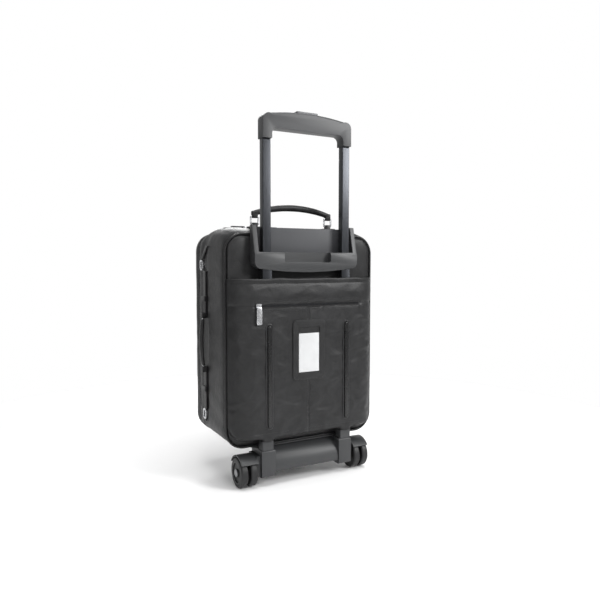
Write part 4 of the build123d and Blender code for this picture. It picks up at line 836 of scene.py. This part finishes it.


# The lip leather is a lighter tone than the body's hide as a painted highlight along the raised
# rim; its lower roughness is its own gloss.
lip_leather_painted_highlight = grained_leather("glossy_lip_leather_painted_highlight", "#1c1c1d", "#2a2a2b", 1.1, 0.30)
for side, sign in (("left", -1), ("right", 1)):
    rail_half = (rail_high.x - rail_low.x) / 2
    lip = oval_lip(
        sign * RAIL_X, rail_half + LIP_W, rail_low.z - LIP_W, rail_high.z + LIP_W, LIP_W,
        POCKET_FACE_Y - 0.0006, LIP_H + 0.0006,
    )
    shown(f"rail_lip_{side}", lip, [lip_leather_painted_highlight], "case")

# ---- Tag frame and card ----------------------------------
# A leather frame sewn on round its edge holds a white address card, which slides in from the top.
tag_leather = grained_leather("tag_frame_leather", "#151516", "#242425", 1.3, 0.46)
eased_copy("tag_frame", tag_leather, 0.0007)
TAG_ROW = 0.003
TAG_R = 0.009
tag_stitches = bmesh.new()
ring_row(tag_stitches, (tag_high.x, tag_low.z, tag_high.z, TAG_R), TAG_ROW, tag_high.y, 1)
shown("tag_stitching", tag_stitches, [thread], "case")

card_stock, tree, output, place = start_material("coated_card_stock")
card_fibre = noisy(tree, place, 40.0, 6.0)
card_tone = toned(tree, card_fibre, "#c6c7c8", "#dadbdc")
surface(tree, output, {
    "Base Color": card_tone, "Roughness": 0.45,
    "Coat Weight": 0.6, "Coat Roughness": 0.08,
})
eased_copy("id_card", card_stock, 0.0002)

# ---- Zips ------------------------------------------------
# Woven polyester tapes with nickel-coated moulded teeth: round the lid, across the top, on the
# back pocket and on the lid. Every tooth is a small block that the one beside it locks into.
tape_cloth = woven_cloth("polyester_zip_tape", "#101011", "#242426", 1.1)
for node in ("zip_tapes", "lid_zip", "front_zip"):
    eased_copy(node, tape_cloth, 0.0002, angle=60.0)
tooth_metal = bright_metal("blackened_nickel_teeth", "#2f2f31", "#4b4b4e", 0.32)
TOOTH_PITCH = 0.0024
TOOTH = (0.0011, 0.0026, 0.0012)


def add_tooth(mesh, spot, along, up, side=0):
    """One zip tooth, set to one side of the line, or a locked pair across it."""
    along = Vector(along).normalized()
    across = Vector(up).cross(along).normalized()
    for half in ((-1, 1) if side == 0 else (side,)):
        place = Vector(spot) + across * half * 0.0009 + along * half * TOOTH_PITCH / 4
        bmesh.ops.create_cube(mesh, size=1.0, matrix=set_in(place, along, up, TOOTH))


def zip_row(name, body, low_x, high_x, y, z):
    """The locked teeth of a straight zip on an upright face."""
    teeth = bmesh.new()
    straight_row(teeth, (low_x, z), (high_x, z), lambda *spot: y, TOOTH_PITCH, add_tooth)
    shown(name, teeth, [tooth_metal], body, smooth=False)


pocket_zip_y = POCKET_FACE_Y + 0.0004
zip_row("pocket_zip_teeth", "case", -POCKET_FLAT_X, POCKET_FLAT_X, pocket_zip_y, zip_mid_z)
front_zip_low, front_zip_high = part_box("front_zip")
front_zip_z = (front_zip_low.z + front_zip_high.z) / 2
zip_row("front_zip_teeth", "lid", front_zip_low.x, front_zip_high.x, front_zip_low.y, front_zip_z)

TOP_ZIP_HALF = 0.148
pull_low, pull_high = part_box("top_pull_left")
top_zip_y = (pull_low.y + pull_high.y) / 2
top_teeth = bmesh.new()
top_count = round(2 * TOP_ZIP_HALF / TOOTH_PITCH)
for k in range(top_count):
    x = -TOP_ZIP_HALF + 2 * TOP_ZIP_HALF * (k + 0.5) / top_count
    add_tooth(top_teeth, (x, top_zip_y, CROWN_Z + 0.0002), (1, 0, 0), (0, 0, 1))
shown("top_zip_teeth", top_teeth, [tooth_metal], "case", smooth=False)

HINGE_LOW_Z, HINGE_HIGH_Z = (corner.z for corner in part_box("lid_hinge"))
SEAM_Y = -0.080
TOOTH_SINK = 0.0008
seam_places = round_places(
    HALF_W - TOOTH_SINK, BODY_LOW_Z + TOOTH_SINK, FRONT_TOP_Z - TOOTH_SINK, CORNER_R, TOOTH_PITCH
)
for body, line_y, side in (("case", SEAM_Y + 0.0004, -1), ("lid", SEAM_Y - 0.0004, 1)):
    ring_teeth = bmesh.new()
    for x, z, facing in seam_places:
        on_hinge = x < 0 and HINGE_LOW_Z < z < HINGE_HIGH_Z
        if not on_hinge:
            out = (cos(facing), 0, sin(facing))
            add_tooth(ring_teeth, (x, line_y, z), (-sin(facing), 0, cos(facing)), out, side)
    shown(f"seam_teeth_{body}", ring_teeth, [tooth_metal], body, smooth=False)

# ---- Lid -------------------------------------------------
# The front of the case is a shallow tray of leather over board. It is sewn to the body down one
# side by a leather hinge, and zips round the other three.
lid_panel_low, lid_panel_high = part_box("lid_panel")
LID_BACK_Y = lid_ring_high.y
LID_FACE_Y = lid_panel_low.y
LID_SWELL = 0.0016
LID_ROLL = 0.008
lid_hoop = leather_hoop(BODY_LOW_Z, FRONT_TOP_Z, LID_BACK_Y, LID_FACE_Y + 0.0045, 0.006)
for vert in lid_hoop.verts:
    away = outward(vert.co, BODY_LOW_Z, FRONT_TOP_Z)
    puff = pillow(min(LID_BACK_Y - vert.co.y, vert.co.y - LID_FACE_Y), LID_ROLL)
    swell = LID_SWELL * puff * (0.5 + 0.5 * creasing(vert.co, 0.05))
    vert.co += away * (
        swell - LEATHER_SINK - 0.0010 * (1 - puff) if away.z > -0.5 else -BASE_SINK
    )
lid_side = shown(
    "lid_gusset_leather", lid_hoop, [leather, lining], "lid", ("lid_gusset",)
)
give_wall(lid_side, 0.0065, inner=1)


def face_front(mesh):
    """Turns a blank that faces +Y to face -Y."""
    bmesh.ops.reverse_faces(mesh, faces=mesh.faces)
    return mesh


LID_SEAM = 0.001              # the panel's edge, in from the lid's outline
LID_INSIDE = 0.008            # the lining's edge
lid_blank = face_front(leather_blank(
    HALF_W - LID_SEAM, BODY_LOW_Z + LID_SEAM, FRONT_TOP_Z - LID_SEAM, CORNER_R, 0.0065
))
for vert in lid_blank.verts:
    edge = inside_by(vert.co, HALF_W, BODY_LOW_Z, FRONT_TOP_Z, CORNER_R)
    soft = creasing(vert.co, 0.07, (1.0, 1.0, 0.8))
    vert.co.y = LID_FACE_Y + 0.0048 - 0.0046 * pillow(edge, 0.007) - 0.0004 * soft
lid_front = shown("lid_panel_leather", lid_blank, [leather], "lid", ("lid_panel",))
give_wall(lid_front, 0.0022)
lid_inside = leather_blank(
    HALF_W - LID_INSIDE, BODY_LOW_Z + LID_INSIDE, FRONT_TOP_Z - LID_INSIDE,
    CORNER_R - LID_INSIDE, 0.02,
)
for vert in lid_inside.verts:
    vert.co.y = lid_panel_high.y + 0.0006 + 0.0008 * creasing(vert.co, 0.09)
lid_lining = shown("lid_lining", lid_inside, [lining], "lid")
give_wall(lid_lining, LINING_T)

# ---- Lid hinge -------------------------------------------
# A strip of soft leather joins the lid to the body along its left edge, and bends as it opens.
HINGE_T = 0.0012
HINGE_W = 0.0110
HINGE_X = -HALF_W + 0.0003
hinge_strip = block(
    (HINGE_X - HINGE_T / 2, SEAM_Y - HINGE_W / 2, HINGE_LOW_Z),
    (HINGE_X + HINGE_T / 2, SEAM_Y + HINGE_W / 2, HINGE_HIGH_Z),
)
slice_mesh(hinge_strip, 1, [SEAM_Y - HINGE_W / 2 + HINGE_W * k / 10 for k in range(1, 10)])
slice_mesh(hinge_strip, 2, evenly(HINGE_LOW_Z, HINGE_HIGH_Z, 0.012))
lid_hinge = shown(
    "lid_hinge_leather", hinge_strip, [piping_leather], None, ("lid_hinge",)
)
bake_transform(lid_hinge)

# ---- Front pockets ---------------------------------------
# Two padded leather pockets on the lid: a closed one above, and an open slip pocket below the zip.


def plump(mesh, voxel, cap, pressure=4.0):
    """Blows a closed form up as cloth, lets no point travel further than cap, and gives it back."""
    data = bpy.data.meshes.new("plump_form")
    mesh.to_mesh(data)
    mesh.free()
    form = bpy.data.objects.new("plump_form", data)
    scene.collection.objects.link(form)
    remesh = form.modifiers.new("voxels", "REMESH")
    remesh.mode = "VOXEL"
    remesh.voxel_size = voxel
    remeshed = form.evaluated_get(bpy.context.evaluated_depsgraph_get())
    solid = bpy.data.meshes.new_from_object(remeshed)
    form.modifiers.clear()
    form.data = solid
    start = [vert.co.copy() for vert in solid.vertices]
    ends = start
    cloth = form.modifiers.new("cloth", "CLOTH")
    cloth.settings.use_pressure = True
    cloth.settings.uniform_pressure_force = pressure
    cloth.settings.effector_weights.gravity = 0.0
    cloth.point_cache.frame_start = 1
    cloth.point_cache.frame_end = 20
    for frame_number in range(1, 21):
        scene.frame_set(frame_number)
    blown = form.evaluated_get(bpy.context.evaluated_depsgraph_get())
    ends = [vert.co.copy() for vert in blown.data.vertices]
    scene.frame_set(1)
    result = bmesh.new()
    form.modifiers.clear()
    result.from_mesh(solid)
    for vert, old, new in zip(result.verts, start, ends):
        travel = new - old
        if travel.length > cap:
            travel *= cap / travel.length
        vert.co = old + travel
    bpy.data.objects.remove(form)
    return result


def soft_block(low, high, radius):
    """A block with rounded edges, cut to shape before it is padded."""
    mesh = block(low, high)
    round_off(mesh, mesh.edges[:], radius, 4)
    return mesh


def smooth_over(piece):
    """Smooths a padded piece's cells."""
    smoother = piece.modifiers.new("smoother", "SUBSURF")
    smoother.levels = 1
    smoother.render_levels = 1


upper_low, upper_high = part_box("front_pocket_upper")
lower_low, lower_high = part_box("front_pocket_lower")
upper_form = soft_block(
    (upper_low.x + 0.004, upper_low.y + 0.006, upper_low.z + 0.004),
    (upper_high.x - 0.004, LID_FACE_Y + 0.002, upper_high.z - 0.004), 0.004,
)
upper_pocket = shown(
    "front_pocket_upper_leather", plump(upper_form, 0.005, 0.0065), [leather], "lid",
    ("front_pocket_upper",),
)
smooth_over(upper_pocket)

SLIP_FULL = 0.0145            # how far the slip pocket stands off at its bottom
SLIP_LESS = 0.0050            # and how much less at its mouth
lower_blank = face_front(leather_blank(
    lower_high.x, lower_low.z, lower_high.z, CORNER_R, 0.005, square_top=True
))
for vert in lower_blank.verts:
    edge = inside_by(vert.co, lower_high.x, lower_low.z, lower_high.z + CORNER_R, CORNER_R)
    height = (vert.co.z - lower_low.z) / (lower_high.z - lower_low.z)
    fullness = SLIP_FULL - SLIP_LESS * height ** 2
    soft = creasing(vert.co, 0.05, (1.0, 1.0, 1.4)) - 0.5
    vert.co.y = LID_FACE_Y + 0.0006 - (fullness + 0.0012 * soft) * pillow(edge + 0.0003, 0.016)
lower_pocket = shown(
    "front_pocket_lower_leather", lower_blank, [leather, lining], "lid",
    ("front_pocket_lower",),
)
give_wall(lower_pocket, 0.0025, inner=1)

LID_ROW = 0.010
lid_stitches = bmesh.new()
ring_row(
    lid_stitches, (HALF_W, BODY_LOW_Z, FRONT_TOP_Z, CORNER_R), LID_ROW, LID_FACE_Y - 0.0004, -1,
    lambda z: not (lower_low.z < z < lower_high.z or upper_low.z < z < upper_high.z),
)
for row in (-ZIP_ROWS[0], ZIP_ROWS[0]):
    row_z = front_zip_z + row
    straight_row(
        lid_stitches, (front_zip_low.x, row_z), (front_zip_high.x, row_z),
        lambda x, z: LID_FACE_Y - 0.0003,
    )
mouth_z = lower_high.z - 0.009
straight_row(
    lid_stitches, (lower_low.x + 0.012, mouth_z), (lower_high.x - 0.012, mouth_z),
    lambda x, z: LID_FACE_Y - 0.0100,
)
shown("lid_stitching", lid_stitches, [thread], "lid")

# ---- Laptop sleeve ---------------------------------------
# A foam-padded pocket of twill against the inside of the back panel, bound along its top edge.
sleeve_low, sleeve_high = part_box("laptop_sleeve")
SLEEVE_PAD = 0.008            # foam thickness
SLEEVE_CORNER = 0.03          # the side and bottom pads leave the corners open
pad_front_y = sleeve_low.y + SLEEVE_PAD
pad_back_y = sleeve_high.y - 0.001
sleeve_form = soft_block(
    (sleeve_low.x + 0.003, sleeve_low.y + 0.002, sleeve_low.z + 0.003),
    (sleeve_high.x - 0.003, pad_front_y - 0.0005, sleeve_high.z - 0.003), 0.002,
)
sleeve_pad = shown(
    "laptop_sleeve_pad", plump(sleeve_form, 0.005, 0.004), [lining], "case",
    ("laptop_sleeve",),
)
smooth_over(sleeve_pad)
SLEEVE_PADS = {
    # name: lowest and highest x and z
    "sleeve_pad_left": (
        sleeve_low.x, sleeve_low.x + SLEEVE_PAD, sleeve_low.z + SLEEVE_CORNER, sleeve_high.z
    ),
    "sleeve_pad_right": (
        sleeve_high.x - SLEEVE_PAD, sleeve_high.x, sleeve_low.z + SLEEVE_CORNER, sleeve_high.z
    ),
    "sleeve_pad_bottom": (
        sleeve_low.x + SLEEVE_CORNER, sleeve_high.x - SLEEVE_CORNER,
        sleeve_low.z, sleeve_low.z + SLEEVE_PAD,
    ),
}
for name, (low_x, high_x, low_z, high_z) in SLEEVE_PADS.items():
    form = soft_block((low_x, pad_front_y, low_z), (high_x, pad_back_y, high_z), 0.0025)
    pad = shown(name, form, [lining], "case")
binding = soft_block(
    (sleeve_low.x, sleeve_low.y - 0.0004, sleeve_high.z - 0.010),
    (sleeve_high.x, pad_front_y + 0.0004, sleeve_high.z + 0.0006), 0.0015,
)
shown("sleeve_binding", binding, [piping_leather], "case")

# ---- Straps and their fittings ---------------------------
# Compression straps of folded leather run up each side through leather keepers. The rings at
# their ends are held to the body by short stays.
strap_leather = grained_leather("strap_leather", "#111112", "#202021", 1.3, 0.40)
eased_copy("side_straps", strap_leather, 0.0006)
STRAP_FACE_X = HALF_W + 0.0035
STRAP_ROW = STRAP_HALF - 0.0022
STRAP_RUNS = ((0.372, 0.392), (0.408, 0.458), (0.153, 0.188), (0.204, 0.232))
strap_stitches = bmesh.new()
for sign in (-1, 1):
    for edge_y in (STRAP_Y - STRAP_ROW, STRAP_Y + STRAP_ROW):
        for low_z, high_z in STRAP_RUNS:
            count = round((high_z - low_z) / STITCH_PITCH)
            for k in range(count):
                z = low_z + (high_z - low_z) * (k + 0.5) / count
                spot = (sign * STRAP_FACE_X, edge_y, z)
                add_stitch(strap_stitches, spot, (0, 0, 1), (sign, 0, 0))
shown("strap_stitching", strap_stitches, [thread], "case")

# ---- Side handle -----------------------------------------
# A padded leather grip, bowed off the side so that fingers go behind it, with a turned seam all
# round. It pivots on two pins.
side_low, side_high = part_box("side_grip")
side_form = soft_block(
    (side_low.x + 0.0005, side_low.y + 0.001, side_low.z + 0.001),
    (side_low.x + 0.0075, side_high.y - 0.001, side_high.z - 0.001), 0.0028,
)
slice_mesh(side_form, 2, evenly(side_low.z, side_high.z, 0.006))
SIDE_BOW = 0.0035
side_mid_z = (side_low.z + side_high.z) / 2
side_mesh = plump(side_form, 0.0025, 0.0010)
for vert in side_mesh.verts:
    along = (vert.co.z - side_mid_z) / (side_high.z - side_mid_z)
    vert.co.x += SIDE_BOW * (1 - along ** 2)
side_grip = shown(
    "side_grip_leather", side_mesh, [leather], "side_handle", ("side_grip",)
)
smooth_over(side_grip)

# ---- Carry handle ----------------------------------------
# A cord core wrapped in leather, fuller in the middle, with its seam underneath. Each end is
# folded round a nickel loop, which turns in a stitched leather chape on the top.
grip_low, grip_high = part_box("carry_grip")
loop_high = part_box("carry_loops")[1]
HANDLE_Y = (grip_low.y + grip_high.y) / 2
GRIP_R = (grip_high.y - grip_low.y) / 2
ARCH_END = Vector((loop_high.x - 0.011, HANDLE_Y, 0.590))
ARCH_RISE = 0.014
ARCH_R = (ARCH_END.x ** 2 + ARCH_RISE ** 2) / (2 * ARCH_RISE)
arch_centre = Vector((0, HANDLE_Y, ARCH_END.z + ARCH_RISE - ARCH_R))
arch_angle = 2 * asin(ARCH_END.x / ARCH_R)
wrap = bmesh.new()
bmesh.ops.create_circle(wrap, cap_ends=True, segments=20, radius=GRIP_R)
bmesh.ops.rotate(wrap, matrix=Matrix.Rotation(pi / 2, 3, "Y"), verts=wrap.verts)
bmesh.ops.rotate(wrap, matrix=Matrix.Rotation(-arch_angle / 2, 3, "Y"), verts=wrap.verts)
bmesh.ops.translate(wrap, vec=(-ARCH_END.x, HANDLE_Y, ARCH_END.z), verts=wrap.verts)
bmesh.ops.spin(
    wrap, geom=wrap.faces[:], cent=arch_centre, axis=(0, 1, 0), angle=arch_angle, steps=48,
    use_merge=False,
)
bmesh.ops.remove_doubles(wrap, verts=wrap.verts, dist=0.00001)
bmesh.ops.recalc_face_normals(wrap, faces=wrap.faces)
for vert in wrap.verts:
    along = vert.co.x / ARCH_END.x
    lean = asin(max(-1.0, min(1.0, vert.co.x / ARCH_R)))
    core = arch_centre + ARCH_R * Vector((sin(lean), 0, cos(lean)))
    fuller = 0.80 + 0.22 * (1 - along ** 2) + 0.03 * creasing(vert.co, 0.012)
    vert.co = core + (vert.co - core) * min(1.05, fuller)
shown("carry_handle_wrap", wrap, [leather], "carry_handle", ("carry_grip",))
TAB_HALF = (0.0068, 0.0052)   # half the width and half the thickness of the folded ends
TAB_Z = (0.5788, 0.5945)
TAB_ROW_Z = 0.5895
handle_stitches = bmesh.new()
for side, sign in (("left", -1), ("right", 1)):
    tab_x = sign * ARCH_END.x
    tab = soft_block(
        (tab_x - TAB_HALF[0], HANDLE_Y - TAB_HALF[1], TAB_Z[0]),
        (tab_x + TAB_HALF[0], HANDLE_Y + TAB_HALF[1], TAB_Z[1]), 0.0022,
    )
    shown(f"carry_handle_tab_{side}", tab, [strap_leather], "carry_handle")
    for face in (-1, 1):
        for k in range(4):
            spot = (tab_x - 0.0045 + 0.003 * k, HANDLE_Y + face * (TAB_HALF[1] + 0.0001), TAB_ROW_Z)
            add_stitch(handle_stitches, spot, (1, 0, 0), (0, face, 0))
shown("carry_handle_stitching", handle_stitches, [thread], "carry_handle")
eased_copy("handle_chapes", strap_leather, 0.0008)

# ---- Edge stitching of the body --------------------------
# The gusset is topstitched beside both seams, and the back panel inside its piping.
GUSSET_ROW = 0.0055
PANEL_ROW = 0.005
body_stitches = bmesh.new()
for line_y in (GUSSET_BACK_Y - GUSSET_ROW, GUSSET_FRONT_Y + GUSSET_ROW):
    for x, z, facing in round_places(HALF_W, BODY_LOW_Z, BACK_TOP_Z, CORNER_R, STITCH_PITCH):
        out = Vector((cos(facing), 0, sin(facing)))
        spot = Vector((x, line_y, z + crown_lift(line_y) * crown_share(z))) + out * 0.0002
        if out.z > -0.5:
            add_stitch(body_stitches, spot, (-sin(facing), 0, cos(facing)), out)
ring_row(
    body_stitches, (panel_high.x, panel_low.z, panel_high.z, PANEL_R), PANEL_ROW,
    panel_high.y - 0.0002, 1, lambda z: z > pocket_high.z,
)
shown("body_stitching", body_stitches, [thread], "case")
